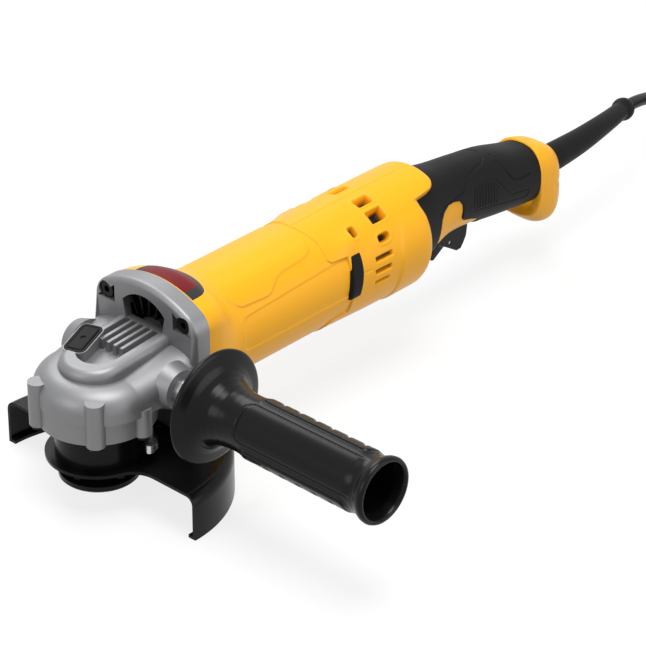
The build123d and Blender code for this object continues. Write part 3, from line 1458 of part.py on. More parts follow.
bundle_near_x = coil_x - coil_r + coil_pitch * 0.75
bundle_far_x = coil_x - coil_inner_r - coil_pitch / 4
with BuildPart() as cord_tie:
    with BuildSketch(Plane.XZ.offset(-coil_y - tie_wide / 2)):
        with BuildLine():
            Polyline((bundle_near_x - cord_d / 2 - tie_thick - 0.4, floor_z),
                     (bundle_far_x + cord_d / 2 + tie_thick + 1.8, floor_z),
                     (bundle_far_x + cord_d / 2 + tie_thick + 1.8,
                      coil_high_z + cord_d / 2 + tie_thick + 0.2),
                     (bundle_near_x - cord_d / 2 - tie_thick - 0.4,
                      coil_high_z + cord_d / 2 + tie_thick + 0.2), close=True)
        tie_face = make_face()
        fillet(tie_face.vertices(), 4)
        offset(amount=-tie_thick, mode=Mode.SUBTRACT)
    extrude(amount=tie_wide)
finish(cord_tie, "cord_tie")
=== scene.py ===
import bpy
import bmesh
import json
import math
import numpy as np
from mathutils import Matrix, Vector


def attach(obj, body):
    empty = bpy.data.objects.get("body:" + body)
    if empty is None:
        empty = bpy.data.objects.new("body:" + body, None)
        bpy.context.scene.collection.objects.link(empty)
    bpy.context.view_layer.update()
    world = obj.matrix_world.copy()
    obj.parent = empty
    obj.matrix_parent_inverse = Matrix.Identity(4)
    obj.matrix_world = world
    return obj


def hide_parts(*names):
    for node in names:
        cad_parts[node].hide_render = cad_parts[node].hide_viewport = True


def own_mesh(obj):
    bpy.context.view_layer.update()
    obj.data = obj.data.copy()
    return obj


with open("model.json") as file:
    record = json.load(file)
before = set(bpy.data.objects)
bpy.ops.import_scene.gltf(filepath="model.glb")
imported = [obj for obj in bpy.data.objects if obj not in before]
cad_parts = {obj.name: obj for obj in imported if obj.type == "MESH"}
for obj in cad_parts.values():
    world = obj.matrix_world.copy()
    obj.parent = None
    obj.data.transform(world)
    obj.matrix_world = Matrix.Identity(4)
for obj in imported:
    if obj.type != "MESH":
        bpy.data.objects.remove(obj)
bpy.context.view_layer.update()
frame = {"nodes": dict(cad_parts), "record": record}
nodes = frame["nodes"]
scene = bpy.context.scene
scene.view_settings.view_transform = "Standard"

# lengths in the arrays are millimetres, meshes get metres
axisZ = 45.0  # height of the motor's axis and the side handle's
floorZ = -0.020  # in metres


# number helpers
def smoothStep(low, high, x):
    # 0 up to low, 1 from high on, and between them the cubic 3 t t - 2 t t t
    t = np.clip((x - low) / (high - low), 0, 1)
    return t * t * (3 - 2 * t)


def hump(x, wide):
    # bell curve, 1 at 0 and about a third of that at its width
    return np.exp(-(x / wide) ** 2)


def throughPoints(x, pairs):
    # cubic curve through (x, value) pairs, slopes taken from the neighbours
    xs, ys = np.array(pairs, float).T
    slope = np.gradient(ys, xs)
    i = np.clip(np.searchsorted(xs, x) - 1, 0, len(xs) - 2)
    h = xs[i + 1] - xs[i]
    t = np.clip((x - xs[i]) / h, 0, 1)
    return (ys[i] * (1 + 2 * t) * (1 - t) ** 2 + h * slope[i] * t * (1 - t) ** 2
            + ys[i + 1] * t * t * (3 - 2 * t) + h * slope[i + 1] * t * t * (t - 1))


def lengthAlong(points):
    # length from the start of a line of points to each of them
    return np.concatenate([[0], np.cumsum(np.linalg.norm(np.diff(points, axis=0), axis=1))])


def lineGap(px, py, points):
    # distance to an open line of straight runs
    p = np.array(points, float)
    gaps = []
    for a, b in zip(p[:-1], p[1:]):
        e = b - a
        t = np.clip(((px - a[0]) * e[0] + (py - a[1]) * e[1]) / (e @ e), 0, 1)
        gaps.append(np.hypot(px - a[0] - t * e[0], py - a[1] - t * e[1]))
    return np.minimum.reduce(gaps)


def outlineGap(px, py, points):
    # signed distance to a closed outline, positive inside
    p = np.array(points, float)
    gap = lineGap(px, py, np.vstack([p, p[:1]]))
    odd = np.zeros(gap.shape, bool)
    for a, b in zip(p, np.roll(p, -1, 0)):
        if a[1] != b[1]:
            odd ^= ((a[1] > py) != (b[1] > py)) & (px < (b[0] - a[0]) * (py - a[1]) / (b[1] - a[1]) + a[0])
    return np.where(odd, gap, -gap)


def boxGap(px, py, cx, cy, hx, hy, r):
    # signed distance to a box with round corners, positive inside
    qx, qy = np.abs(px - cx) - hx + r, np.abs(py - cy) - hy + r
    return r - np.hypot(np.maximum(qx, 0), np.maximum(qy, 0)) - np.minimum(np.maximum(qx, qy), 0)


def unroll(pairs, arc):
    # (x, turn) pairs laid flat: a turn in degrees becomes a length, arc millimetres to the degree
    return [(x, turn * arc) for x, turn in pairs]


def aroundAxis(x, angle, reach, mid):
    # points at a reach from a line along X at height mid, angle 0 being up and a quarter turn -Y
    return np.stack([x + 0 * angle, -np.sin(angle) * reach, mid + np.cos(angle) * reach], -1)


def ovalReach(angle, half, high, power):
    # superellipse: the reach at which y / half and z / high, each raised to the power, add up to 1
    s, c = np.abs(np.sin(angle)), np.abs(np.cos(angle))
    return ((s / half) ** power + (c / high) ** power) ** (-1 / power)


def outward(points, wrap):
    # unit normals of a grid, rows along the length and columns round it
    du = np.gradient(points, axis=0)
    dv = np.roll(points, -1, 1) - np.roll(points, 1, 1) if wrap else np.gradient(points, axis=1)
    n = np.cross(dv, du)
    return n / np.maximum(np.linalg.norm(n, axis=-1, keepdims=True), 1e-9)


# mesh helpers
def keepMesh(name, mesh, body, material, stands=()):
    # an object at the origin, with its body, the nodes it stands for and its slot
    obj = bpy.data.objects.new(name, mesh)
    scene.collection.objects.link(obj)
    mesh.materials.clear()
    mesh.materials.append(material)
    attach(obj, body)
    if stands:
        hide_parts(*stands)
    return obj


def weld(mesh, gap):
    # merges doubles, drops faces with no area and shades the rest smooth
    work = bmesh.new()
    work.from_mesh(mesh)
    bmesh.ops.remove_doubles(work, verts=work.verts, dist=gap)
    bmesh.ops.dissolve_degenerate(work, edges=work.edges, dist=gap / 4)
    work.to_mesh(mesh)
    work.free()
    mesh.polygons.foreach_set("use_smooth", np.ones(len(mesh.polygons), bool))


def gridMesh(name, points, wrap=False, flip=False, paintedShade=None):
    # quads over a grid of points, doubles at poles and seams welded
    rows, cols = points.shape[:2]
    index = np.arange(rows * cols).reshape(rows, cols)
    near = index if wrap else index[:, :-1]
    far = np.roll(index, -1, 1) if wrap else index[:, 1:]
    quads = np.stack([near[:-1], far[:-1], far[1:], near[1:]], -1).reshape(-1, 4)
    if flip:
        quads = quads[:, ::-1]
    mesh = bpy.data.meshes.new(name)
    mesh.vertices.add(rows * cols)
    mesh.vertices.foreach_set("co", (points / 1000).astype(np.float32).ravel())
    mesh.loops.add(quads.size)
    mesh.loops.foreach_set("vertex_index", quads.astype(np.int32).ravel())
    mesh.polygons.add(len(quads))
    mesh.polygons.foreach_set("loop_start", np.arange(0, quads.size, 4, dtype=np.int32))
    mesh.update(calc_edges=True)
    # point attribute for painted shade: 1 where the material paints a dark colour in
    if paintedShade is not None:
        layer = mesh.attributes.new("paintedShade", "FLOAT", "POINT")
        layer.data.foreach_set("value", paintedShade.astype(np.float32).ravel())
    weld(mesh, 2e-6)
    return mesh


def halfMesh(name, points, side, paintedShade=None):
    # one of a mirrored pair: side 1 is the grid as made, side -1 the same turned over in Y
    return gridMesh(name, points * np.array([1, side, 1]), flip=side < 0, paintedShade=paintedShade)


# materials
def finishGroup():
    # a wide noise darkens the colour, a fine noise spreads the roughness and raises the grain
    g = bpy.data.node_groups.new("finish", "ShaderNodeTree")
    g.interface.new_socket("Color", in_out="INPUT", socket_type="NodeSocketColor")
    for label in ("Tint", "Roughness", "Spread", "Grain Size", "Grain"):
        g.interface.new_socket(label, in_out="INPUT", socket_type="NodeSocketFloat")
    for label, kind in (("Color", "Color"), ("Roughness", "Float"), ("Normal", "Vector")):
        g.interface.new_socket(label, in_out="OUTPUT", socket_type="NodeSocket" + kind)
    new, link = g.nodes.new, g.links.new
    gin, gout = new("NodeGroupInput"), new("NodeGroupOutput")
    place = new("ShaderNodeTexCoord")
    wide, fine = new("ShaderNodeTexNoise"), new("ShaderNodeTexNoise")
    wide.inputs["Scale"].default_value = 35
    wide.inputs["Detail"].default_value = 4
    fine.inputs["Detail"].default_value = 2
    link(place.outputs["Object"], wide.inputs["Vector"])
    link(place.outputs["Object"], fine.inputs["Vector"])
    link(gin.outputs["Grain Size"], fine.inputs["Scale"])
    shade = new("ShaderNodeMix")
    shade.data_type = "RGBA"
    shade.blend_type = "MULTIPLY"
    grey = new("ShaderNodeMapRange")
    grey.inputs["To Min"].default_value = 0.6
    grey.inputs["To Max"].default_value = 1.0
    link(wide.outputs["Fac"], grey.inputs["Value"])
    link(gin.outputs["Tint"], shade.inputs["Factor"])
    link(gin.outputs["Color"], shade.inputs["A"])
    link(grey.outputs["Result"], shade.inputs["B"])
    link(shade.outputs["Result"], gout.inputs["Color"])
    off = new("ShaderNodeMath")
    off.operation = "SUBTRACT"
    off.inputs[1].default_value = 0.5
    link(fine.outputs["Fac"], off.inputs[0])
    more = new("ShaderNodeMath")
    more.operation = "MULTIPLY_ADD"
    link(off.outputs["Value"], more.inputs[0])
    link(gin.outputs["Spread"], more.inputs[1])
    link(gin.outputs["Roughness"], more.inputs[2])
    link(more.outputs["Value"], gout.inputs["Roughness"])
    bump = new("ShaderNodeBump")
    bump.inputs["Distance"].default_value = 0.0002
    link(gin.outputs["Grain"], bump.inputs["Strength"])
    link(fine.outputs["Fac"], bump.inputs["Height"])
    link(bump.outputs["Normal"], gout.inputs["Normal"])
    return g


finish = finishGroup()


def surface(name, color, rough, metal=0.0, tint=0.15, spread=0.12, size=1400, grain=0.15, specular=0.5,
            paintedShade=None):
    # the shared finish with its own values, and a dark second colour painted as shade where the mesh's shade
    # attribute is 1
    mat = bpy.data.materials.new(name)
    mat.use_nodes = True
    tree = mat.node_tree
    bsdf = tree.nodes["Principled BSDF"]
    group = tree.nodes.new("ShaderNodeGroup")
    group.node_tree = finish
    group.inputs["Color"].default_value = (*color, 1)
    group.inputs["Tint"].default_value = tint
    group.inputs["Roughness"].default_value = rough
    group.inputs["Spread"].default_value = spread
    group.inputs["Grain Size"].default_value = size
    group.inputs["Grain"].default_value = grain
    bsdf.inputs["Metallic"].default_value = metal
    bsdf.inputs["Specular IOR Level"].default_value = specular
    tree.links.new(group.outputs["Roughness"], bsdf.inputs["Roughness"])
    tree.links.new(group.outputs["Normal"], bsdf.inputs["Normal"])
    base = group.outputs["Color"]
    # painted shade: the dark colour is mixed in by the shade attribute
    if paintedShade is not None:
        deep = tree.nodes.new("ShaderNodeAttribute")
        deep.attribute_name = "paintedShade"
        mix = tree.nodes.new("ShaderNodeMix")
        mix.data_type = "RGBA"
        mix.inputs["B"].default_value = (*paintedShade, 1)
        tree.links.new(deep.outputs["Fac"], mix.inputs["Factor"])
        tree.links.new(base, mix.inputs["A"])
        base = mix.outputs["Result"]
    tree.links.new(base, bsdf.inputs["Base Color"])
    return mat


# its second colour is painted shade, dark on the floors of the rear vents
yellow = surface("yellowPlastic", (0.88, 0.405, 0.010), 0.38, tint=0.08, grain=0.10, specular=0.25,
                 paintedShade=(0.006, 0.005, 0.004))
blackPlastic = surface("blackPlastic", (0.006, 0.006, 0.0065), 0.24, tint=0.3, spread=0.06, grain=0.05,
                       specular=0.14)
rubber = surface("blackRubber", (0.008, 0.008, 0.0085), 0.5, tint=0.3, size=1900, grain=0.25, specular=0.09)
cordRubber = surface("cordRubber", (0.006, 0.006, 0.0065), 0.42, tint=0.3, size=900, grain=0.1, specular=0.07)
cast = surface("castMetal", (0.225, 0.225, 0.23), 0.44, metal=0.5, tint=0.2, spread=0.15, size=2600,
               grain=0.25)
steel = surface("brightSteel", (0.55, 0.55, 0.56), 0.28, metal=1.0, tint=0.25, size=700, grain=0.05)
blackSteel = surface("blackSteel", (0.006, 0.006, 0.0065), 0.24, tint=0.3, spread=0.03, size=500, grain=0.015,
                     specular=0.12)
lamination = surface("lamination", (0.22, 0.22, 0.23), 0.45, metal=0.9, tint=0.3, size=500)
copper = surface("copperWire", (0.62, 0.24, 0.09), 0.35, metal=0.9, tint=0.3, size=600)
carbon = surface("carbon", (0.03, 0.03, 0.032), 0.6, tint=0.3)
charcoal = surface("charcoalLabel", (0.028, 0.029, 0.031), 0.4, tint=0.2, specular=0.12)
darkRed = surface("redBand", (0.15, 0.006, 0.010), 0.4, tint=0.2, specular=0.12)
slots = {"yellow": yellow, "black_plastic": blackPlastic, "rubber": rubber, "cast": cast, "steel": steel,
         "black_steel": blackSteel, "lamination": lamination, "copper": copper, "carbon": carbon}
slotOf = {p["node"]: p["material_slot"] for p in frame["record"]["subparts"]}
print("materials ready, slots known for", len(slotOf), "pieces")

# pieces that keep the frame's own shape get the material of their slot
for n, obj in nodes.items():
    obj.data.materials.clear()
    obj.data.materials.append(slots[slotOf[n]])
nodes["gear_case_screws"].data.materials[0] = blackSteel
nodes["retainer_screws"].data.materials[0] = blackSteel
nodes["lock_button"].data.materials[0] = rubber
print("materials on", len(nodes), "frame pieces")

# gear case: the frame's, with the rims of its two handle bosses drawn in
bosses = {"x": 22.5, "z": 45.0, "draw": 0.82, "past": 34.0, "rim": (8.0, 14.5)}


def makeCase():
    # points past the case's sides and within the rim's radii move towards the boss's axis
    mesh = nodes["gear_case"].data.copy()
    co = np.zeros(len(mesh.vertices) * 3)
    mesh.vertices.foreach_get("co", co)
    co = co.reshape(-1, 3) * 1000
    bx, bz, draw = bosses["x"], bosses["z"], bosses["draw"]
    reach = np.hypot(co[:, 0] - bx, co[:, 2] - bz)
    rim = (np.abs(co[:, 1]) > bosses["past"]) & (reach > bosses["rim"][0]) & (reach < bosses["rim"][1])
    co[rim, 0] = bx + (co[rim, 0] - bx) * draw
    co[rim, 2] = bz + (co[rim, 2] - bz) * draw
    mesh.vertices.foreach_set("co", (co / 1000).ravel())
    corner = np.zeros(len(mesh.loops) * 3, np.float32)
    mesh.corner_normals.foreach_get("vector", corner)
    count = len(mesh.loops)
    weld(mesh, 1e-6)
    # the frame's own normals go back on when merging dropped no face
    if len(mesh.loops) == count:
        mesh.normals_split_custom_set(corner.reshape(-1, 3))
    else:
        mesh.set_sharp_from_angle(angle=math.radians(30))
    keepMesh("gearCase", mesh, "body", cast, ["gear_case"])


makeCase()

# lock button: outline and slope that the shoulder and the bezel follow
button = {"spot": (4.6, 13.3, 62.6), "half": (9.0, 4.5), "corner": 1.6, "yaw": 15, "tilt": 10}

# shoulder of the gear case: a round front with straight sides that rise towards the flange
shoulder = {"outer": 33.3, "inner": 19.4, "spread": 2.4, "front": 0.925, "back": 33.8, "low": 37.6,
            "wall": (42.0, 9.0), "crest": (53.7, 5.2), "behind": (1.6, 1.0),
            "dip": {"depth": 2.5, "soft": 0.8, "grow": 1.2, "corner": 1.5}}


def makeShoulder():
    o, dip = shoulder, shoulder["dip"]
    run = np.linspace(o["back"], 0, 40)
    a = np.linspace(-np.pi / 2, np.pi / 2, 120)[1:-1]
    # plan: unit half circle between two straight runs, held apart as a run along X and a direction
    x = np.concatenate([run, 0 * a, run[::-1]])
    dx = np.concatenate([0 * run, -o["front"] * np.cos(a), 0 * run])
    dy = np.concatenate([0 * run - 1, np.sin(a), 0 * run + 1])
    back = x / o["back"]
    outer = o["outer"] + o["spread"] * back
    inner = o["inner"] + 0 * back
    wall = o["wall"][0] + o["wall"][1] * back
    crest = o["crest"][0] + o["crest"][1] * back
    # section: upright wall, then a quarter of an ellipse over to the dome's foot, then down behind it
    t = np.linspace(0, 1, 10)[:, None]
    theta = np.linspace(0, np.pi / 2, 28)[1:, None]
    under, down = o["behind"]
    reach = np.vstack([outer + 0 * t, inner + (outer - inner) * np.cos(theta), inner[None] - under])
    height = np.vstack([o["low"] + t * (wall - o["low"]), wall + (crest - wall) * np.sin(theta),
                        crest[None] - down])
    points = np.stack([x + dx * reach, dy * reach, height], -1)
    # under the lock button's block it drops away, so the button has room to go down
    gx, gy = points[..., 0] - button["spot"][0], points[..., 1] - button["spot"][1]
    c, s = math.cos(math.radians(button["yaw"])), math.sin(math.radians(button["yaw"]))
    long, wide = (h + dip["grow"] for h in button["half"])
    block = boxGap(c * gx + s * gy, c * gy - s * gx, 0, 0, long, wide, dip["corner"])
    points[..., 2] -= dip["depth"] * smoothStep(0, dip["soft"], block)
    keepMesh("caseShoulder", gridMesh("caseShoulder", points, flip=True), "body", cast)


makeShoulder()


def makeSpring():
    # the frame's spring, merged, on a mesh of its own
    mesh = nodes["lock_spring"].data.copy()
    weld(mesh, 1e-6)
    z = np.zeros(len(mesh.vertices) * 3)
    mesh.vertices.foreach_get("co", z)
    obj = keepMesh("lockSpring", mesh, "body", steel, ["lock_spring"])
    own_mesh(obj)


makeSpring()

# bezel round the lock button, a flat black ring on the block's sloped top: section as (out, off the slope)
bezel = {"cols": 96, "section": [(0.4, -0.9), (0.4, -0.3), (0.6, -0.12), (1.65, -0.12), (1.85, -0.3),
                                 (1.85, -0.9), (0.4, -0.9)]}


def makeBezel():
    # outline at a distance out: four corner centres plus a turning radius, laid on the button's slope
    a = (np.arange(bezel["cols"]) + 0.5) * 2 * np.pi / bezel["cols"]
    out, off = np.array(bezel["section"]).T[:, :, None]
    radius = button["corner"] + out
    u = np.sign(np.cos(a)) * (button["half"][0] - button["corner"]) + radius * np.cos(a)
    v = np.sign(np.sin(a)) * (button["half"][1] - button["corner"]) + radius * np.sin(a)
    c, s = math.cos(math.radians(button["yaw"])), math.sin(math.radians(button["yaw"]))
    slope = math.radians(button["tilt"])
    x = c * u - s * v
    z = x * math.tan(slope) + off / math.cos(slope)
    points = np.stack([x, s * u + c * v, z], -1) + button["spot"]
    mesh = gridMesh("buttonBezel", points, wrap=True, flip=True)
    mesh.set_sharp_from_angle(angle=math.radians(30))
    keepMesh("buttonBezel", mesh, "body", rubber)


makeBezel()
print("gear case, spring and bezel made")

# motor housing: a round tube whose front swells to the flange's arched square
# panel and field are outlines as (x, turn), share is how much of the front outline each x has
housing = {"start": 45.2, "end": 157.5, "rows": 200, "cols": 400, "radius": 30.6, "arc": 0.534, "mouth": 0.7,
           "front": {"half": 35.5, "top": 85.5, "arch": 60.0, "corner": 12.0, "low": 8.5, "foot": 16.0},
           "share": [(45, 1.0), (50, 0.98), (56, 0.87), (61, 0.64), (66, 0.34), (72, 0.08), (78, 0.01),
                     (84, 0.0), (90, 0.0), (160, 0.0)],
           "panel": [(70, -90), (72, 40), (77, 51), (80, 54), (98, 56), (101, 54.5), (109, 44), (113, 42),
                     (133, 39), (137, 35), (139, 20), (139, -90)],
           "field": [(80.5, 64), (78, 67), (75.8, 94), (78.5, 98.5), (170, 98.5), (170, 56.5)],
           "panelLift": 0.75, "panelFade": (14, 32), "fieldDip": 0.4}


def frontReach(angle):
    # distance from the motor axis to the front outline: arched top, round corners, flat sides and foot
    o = housing["front"]
    half, arch, corner, foot = o["half"], o["arch"], o["corner"], o["foot"]
    archZ = o["top"] - arch
    cornerZ = archZ + math.sqrt((arch - corner) ** 2 - (half - corner) ** 2)
    lean = math.atan2(half - corner, cornerZ - archZ)
    a, b = np.linspace(0, lean, 40), np.linspace(lean, np.pi / 2, 30)
    c = np.linspace(np.pi / 2, np.pi, 40)
    y = np.concatenate([arch * np.sin(a), half + corner * (np.sin(b) - 1),
                        half + foot * (np.sin(c) - 1), [0]])
    z = np.concatenate([archZ + arch * np.cos(a), cornerZ + corner * np.cos(b),
                        o["low"] + foot * (np.cos(c) + 1), [o["low"]]])
    step = lengthAlong(np.stack([y, z], -1))
    even = np.linspace(0, step[-1], 900)
    y, z = np.interp(even, step, y), np.interp(even, step, z) - axisZ
    turn = np.abs(np.mod(angle + np.pi, 2 * np.pi) - np.pi)
    return np.interp(turn, np.arctan2(y, z), np.hypot(y, z))


def housingGrid(x, angle):
    # round tube plus a share of the front outline that fades along the motor axis
    reach = housing["radius"] + (frontReach(angle) - housing["radius"]) * throughPoints(x, housing["share"])
    return aroundAxis(x, angle, reach, axisZ)


def makeHousing():
    # the tube's grid with the upper panel a little proud and the side field a little sunk
    o = housing
    x = np.linspace(o["start"], o["end"], o["rows"])[:, None]
    angle = np.linspace(0, 2 * np.pi, o["cols"], endpoint=False)[None, :]
    points = housingGrid(x, angle)
    turn = np.degrees(np.minimum(angle, 2 * np.pi - angle))
    px, flat = x + 0 * angle, turn * o["arc"] + 0 * x
    panel = outlineGap(px, flat, unroll(o["panel"], o["arc"]))
    field = outlineGap(px, flat, unroll(o["field"], o["arc"]))
    lift = o["panelLift"] * smoothStep(-0.6, 0.6, panel) * smoothStep(*o["panelFade"], turn)
    lift = lift - o["fieldDip"] * smoothStep(-0.3, 0.4, field)
    points = points + outward(points, True) * lift[..., None]
    # closing rings at both ends
    front, back = points[:1].copy(), points[-1:].copy()
    middle = np.array([0, axisZ])
    for ring in (front, back):
        ring[..., 1:] = middle + (ring[..., 1:] - middle) * o["mouth"]
    mesh = gridMesh("motorHousing", np.concatenate([front, points, back]), wrap=True)
    keepMesh("motorHousing", mesh, "body", yellow, ["motor_housing"])


makeHousing()
print("motor housing made")

# label plate on the housing's shoulder: charcoal with a dark red field, rear edges as (turn, x)
label = {"front": 46.0, "lift": {"plate": 0.14, "field": 0.2}, "sink": 0.05,
         "plate": [(-25.5, 47), (-24.8, 52), (-22, 56.2), (-15, 60.5), (-6, 63.5), (4, 64.8), (14, 64),
                   (23, 61.8), (28, 59.3), (31, 56), (32.6, 52), (33.3, 47)],
         "field": [(-20, 48), (-19, 52), (-12, 56.6), (0, 59.8), (10, 60.2), (19, 58.2), (24, 54.6),
                   (25.4, 48)]}


def makeLabel(name, key, mat):
    # a skin over the housing from its front to the rear edge, lifted along the normals and sunk at its rim
    turns = [t for t, x in label[key]]
    turn = np.linspace(turns[0], turns[-1], 141)[None, :]
    part = np.linspace(0, 1, 25)[:, None]
    x = label["front"] + part * (throughPoints(turn, label[key]) - label["front"])
    points = housingGrid(x, np.radians(turn))
    sides = np.minimum(turn - turns[0], turns[-1] - turn) / 20
    edge = np.minimum(1, 12 * np.minimum(1 - part, sides))
    lift = label["lift"][key] * np.sqrt(edge) - label["sink"]
    points = points + outward(points, False) * lift[..., None]
    keepMesh(name, gridMesh(name, points), "body", mat)


makeLabel("topLabel", "plate", charcoal)
makeLabel("topLabelField", "field", darkRed)

# rear housing in two halves: round body with a hood over the top, vents and a square end
# seam is an outline as (x, turn), ridge is (turn, x)
# vents are (x, turn, half length, half width, corner, depth)
rear = {"start": 139.0, "even": 205.0, "evenShare": 0.8, "hole": 18.5, "arc": 0.558, "cols": 300, "rows": 200,
        "radius": [(139, 31.2), (150, 31.4), (160, 31.7), (176, 32.2), (240, 32.3)],
        "hood": {"turn": 37, "end": 238.0, "round": 8.0, "side": 222.0, "step": 8.0, "soft": 1.2},
        "edge": (4.0, 8.0),
        "seam": [(141.5, -20), (141.5, 0), (144.5, 34), (143.6, 52), (145.5, 56), (156.8, 58), (156.8, 122),
                 (145.5, 124), (143.6, 128), (142, 180), (142, 200), (300, 200), (300, -20)],
        "seamDip": 1.9,
        "ridge": [(0, 201), (26, 199.5), (58, 198), (75, 195), (100, 193.5), (130, 193.5), (180, 195)],
        "ridgeLift": 0.8,
        "swell": {"x": 160.5, "turn": 47, "long": 7.5, "wide": 5.5, "lift": 1.5},
        "joint": {"dip": 0.3, "wide": 0.45},
        "vents": [(188.0, 15.6, 5.4, 2.9, 0.8, 6.5), (188.0, 35.0, 5.6, 3.7, 0.8, 6.5),
                  (184.8, 57.2, 4.2, 2.4, 2.1, 5.5), (181.4, 74, 6.4, 1.6, 0.6, 3.6),
                  (179.8, 86, 6.2, 1.5, 0.6, 3.6), (178.6, 97, 5.4, 1.2, 0.5, 3.0),
                  (167.7, 39.4, 2.3, 3.2, 1.6, 4.5), (168.4, 80.3, 2.6, 0.4, 0.2, 1.4)]}


def makeRear(side, node):
    # half a tube along X, a quarter-round edge and a flat end, then lift along the normals
    o, hood, arc = rear, rear["hood"], rear["arc"]
    angle = np.linspace(0, np.pi, o["cols"])[None, :]
    turn = np.degrees(angle)
    s = turn * arc
    # the hood reaches back over the top, with a round corner and a notch where it meets the sides
    corner = arc * hood["turn"]
    over = np.clip((s - corner + hood["round"]) / hood["round"], 0, 1)
    top = hood["end"] - hood["round"] + hood["round"] * np.sqrt(1 - over ** 2)
    sides = hood["side"] + hood["step"] * (1 - smoothStep(corner, corner + hood["soft"], s))
    endX = np.where(s < corner, top, sides)
    roundR = o["edge"][0] + (o["edge"][1] - o["edge"][0]) * smoothStep(corner - 1, corner + 1, s)
    # even rows as far as the vents go, then stretched to the end's own line
    t = np.linspace(0, 1, o["rows"])[:, None]
    even = o["start"] + np.minimum(t / o["evenShare"], 1) * (o["even"] - o["start"])
    stretch = np.maximum((t - o["evenShare"]) / (1 - o["evenShare"]), 0)
    bodyX = even + stretch * (endX - roundR - o["even"])
    bodyR = throughPoints(bodyX, o["radius"])
    bend = np.linspace(0, np.pi / 2, 14)[1:, None]
    bendX = endX - roundR + roundR * np.sin(bend)
    bendR = bodyR[-1:] - roundR * (1 - np.cos(bend))
    inner = np.linspace(0, 1, 8)[1:, None]
    faceX = endX + 0 * inner
    faceR = bendR[-1:] + (o["hole"] - bendR[-1:]) * inner
    x, r = np.vstack([bodyX, bendX, faceX]), np.vstack([bodyR, bendR, faceR])
    points = aroundAxis(x, angle, r, axisZ)
    # sunk ahead of the seam, then the ridge, a swelling and the joint of the halves
    flat = s + 0 * x
    lift = -o["seamDip"] * (1 - smoothStep(-0.45, 0.25, outlineGap(x, flat, unroll(o["seam"], arc))))
    ridgeX = throughPoints(turn, o["ridge"])
    lift = lift + o["ridgeLift"] * smoothStep(ridgeX - 1.3, ridgeX + 1.3, x) * smoothStep(44, 62, turn)
    swell = o["swell"]
    swelling = hump(x - swell["x"], swell["long"]) * hump(flat - swell["turn"] * arc, swell["wide"])
    lift = lift + swell["lift"] * swelling
    lift = lift - o["joint"]["dip"] * hump(np.minimum(flat, 180 * arc - flat), o["joint"]["wide"])
    # vents: a raised rim round the wide ones, a pit, and painted shade on its floor, on the far half of the
    # deepest
    paintedShade = np.zeros(x.shape)
    for vx, va, hx, hy, vr, deep in o["vents"]:
        gap = boxGap(x, flat, vx, va * arc, hx, hy, vr)
        lift = lift + 0.35 * hump(gap + 0.9, 0.7) * (hy > 2)
        lift = lift - deep * smoothStep(-0.25, 0.9, gap)
        pitShade = smoothStep(0.3, 0.8, gap) * min(1, deep / 4)
        paintedShade = np.maximum(paintedShade, pitShade * (smoothStep(-0.6, 0.2, x - vx) if deep > 6 else 1))
    points = points + outward(points, False) * (lift * smoothStep(21, 25, r))[..., None]
    mesh = halfMesh(node + "Rear", points, side, paintedShade)
    keepMesh(node + "Rear", mesh, "body", yellow, [node])


makeRear(1, "handle_right_shell")
makeRear(-1, "handle_left_shell")
print("rear halves made")

# handle: sections as (x, centre height, half width, half height)
# window and ribs are outlines as (x, z), the grooves are lines as (x, turn)
handle = {"x": (217, 336), "rows": 300, "cols": 240, "power": 2.35, "core": -0.55, "skin": 0.25, "arc": 0.31,
          "sections": [(214, 46.5, 22, 27.5), (238, 46.5, 19.5, 26), (254, 47.5, 18, 21.5),
                       (275, 46, 17.2, 20.2), (300, 42.6, 17.3, 19.8), (323, 38.4, 17.5, 17.8),
                       (346, 35.4, 17.0, 16.8)],
          "slot": {"x": 265, "long": 15.4, "wide": 8.0, "corner": 1.0, "below": 44, "roof": 42},
          "window": [(238, 10), (241.2, 39), (242.2, 47), (244, 51), (248, 53.4), (253, 53.3), (258.3, 51.7),
                     (260.8, 48.5), (261.2, 45), (261, 40), (263, 37.6), (270, 35.4), (278.5, 31.5),
                     (281, 28), (282, 10)],
          "windowDip": 2.2,
          "grooves": [[(292.2, -8), (290.5, 10), (288.8, 19), (284.3, 29), (272.7, 38), (267, 45), (264, 55),
                       (261.5, 63), (252, 68), (244.3, 68), (239.7, 77)],
                      [(295.3, 18), (295.2, 30), (296, 38), (298.8, 50), (302, 66), (304.5, 72.5),
                       (310.5, 74), (318.2, 69)]],
          "groove": (0.7, 0.6),
          "ribs": [(270.9, 57), (289.4, 53.2), (292, 50), (298.4, 42.2), (303, 39.3), (317, 36.8),
                   (317.5, 34), (316, 32.4), (304.1, 34.5), (271.5, 41), (270, 43)],
          "bars": {"first": 274.0, "pitch": 2.45, "from": 272, "to": 290.4, "deep": 0.45}}


def handleGrid(x, angle, grow):
    # superellipse sections whose centre and half sizes run through the list, grown all round
    rows = np.array(handle["sections"], float)
    half = throughPoints(x, rows[:, [0, 2]]) + grow
    high = throughPoints(x, rows[:, [0, 3]]) + grow
    mid = throughPoints(x, rows[:, [0, 1]])
    return aroundAxis(x, angle, ovalReach(angle, half, high, handle["power"]), mid)


def makeCore(side, shell):
    # yellow core, its underside raised to a flat roof inside the trigger's slot
    o, slot = handle, handle["slot"]
    x = np.linspace(*o["x"], o["rows"])[:, None]
    points = handleGrid(x, np.linspace(0, np.pi, o["cols"])[None, :], o["core"])
    px, py, pz = points[..., 0], points[..., 1], points[..., 2]
    gap = boxGap(px, py, slot["x"], 0, slot["long"], slot["wide"], slot["corner"])
    rise = smoothStep(-0.15, 0.35, np.where(pz < slot["below"], gap, -1))
    points[..., 2] = pz + rise * (slot["roof"] - pz)
    mesh = halfMesh(shell + "Core", points, side)
    keepMesh(shell + "CoreLook", mesh, "body", yellow, [shell])


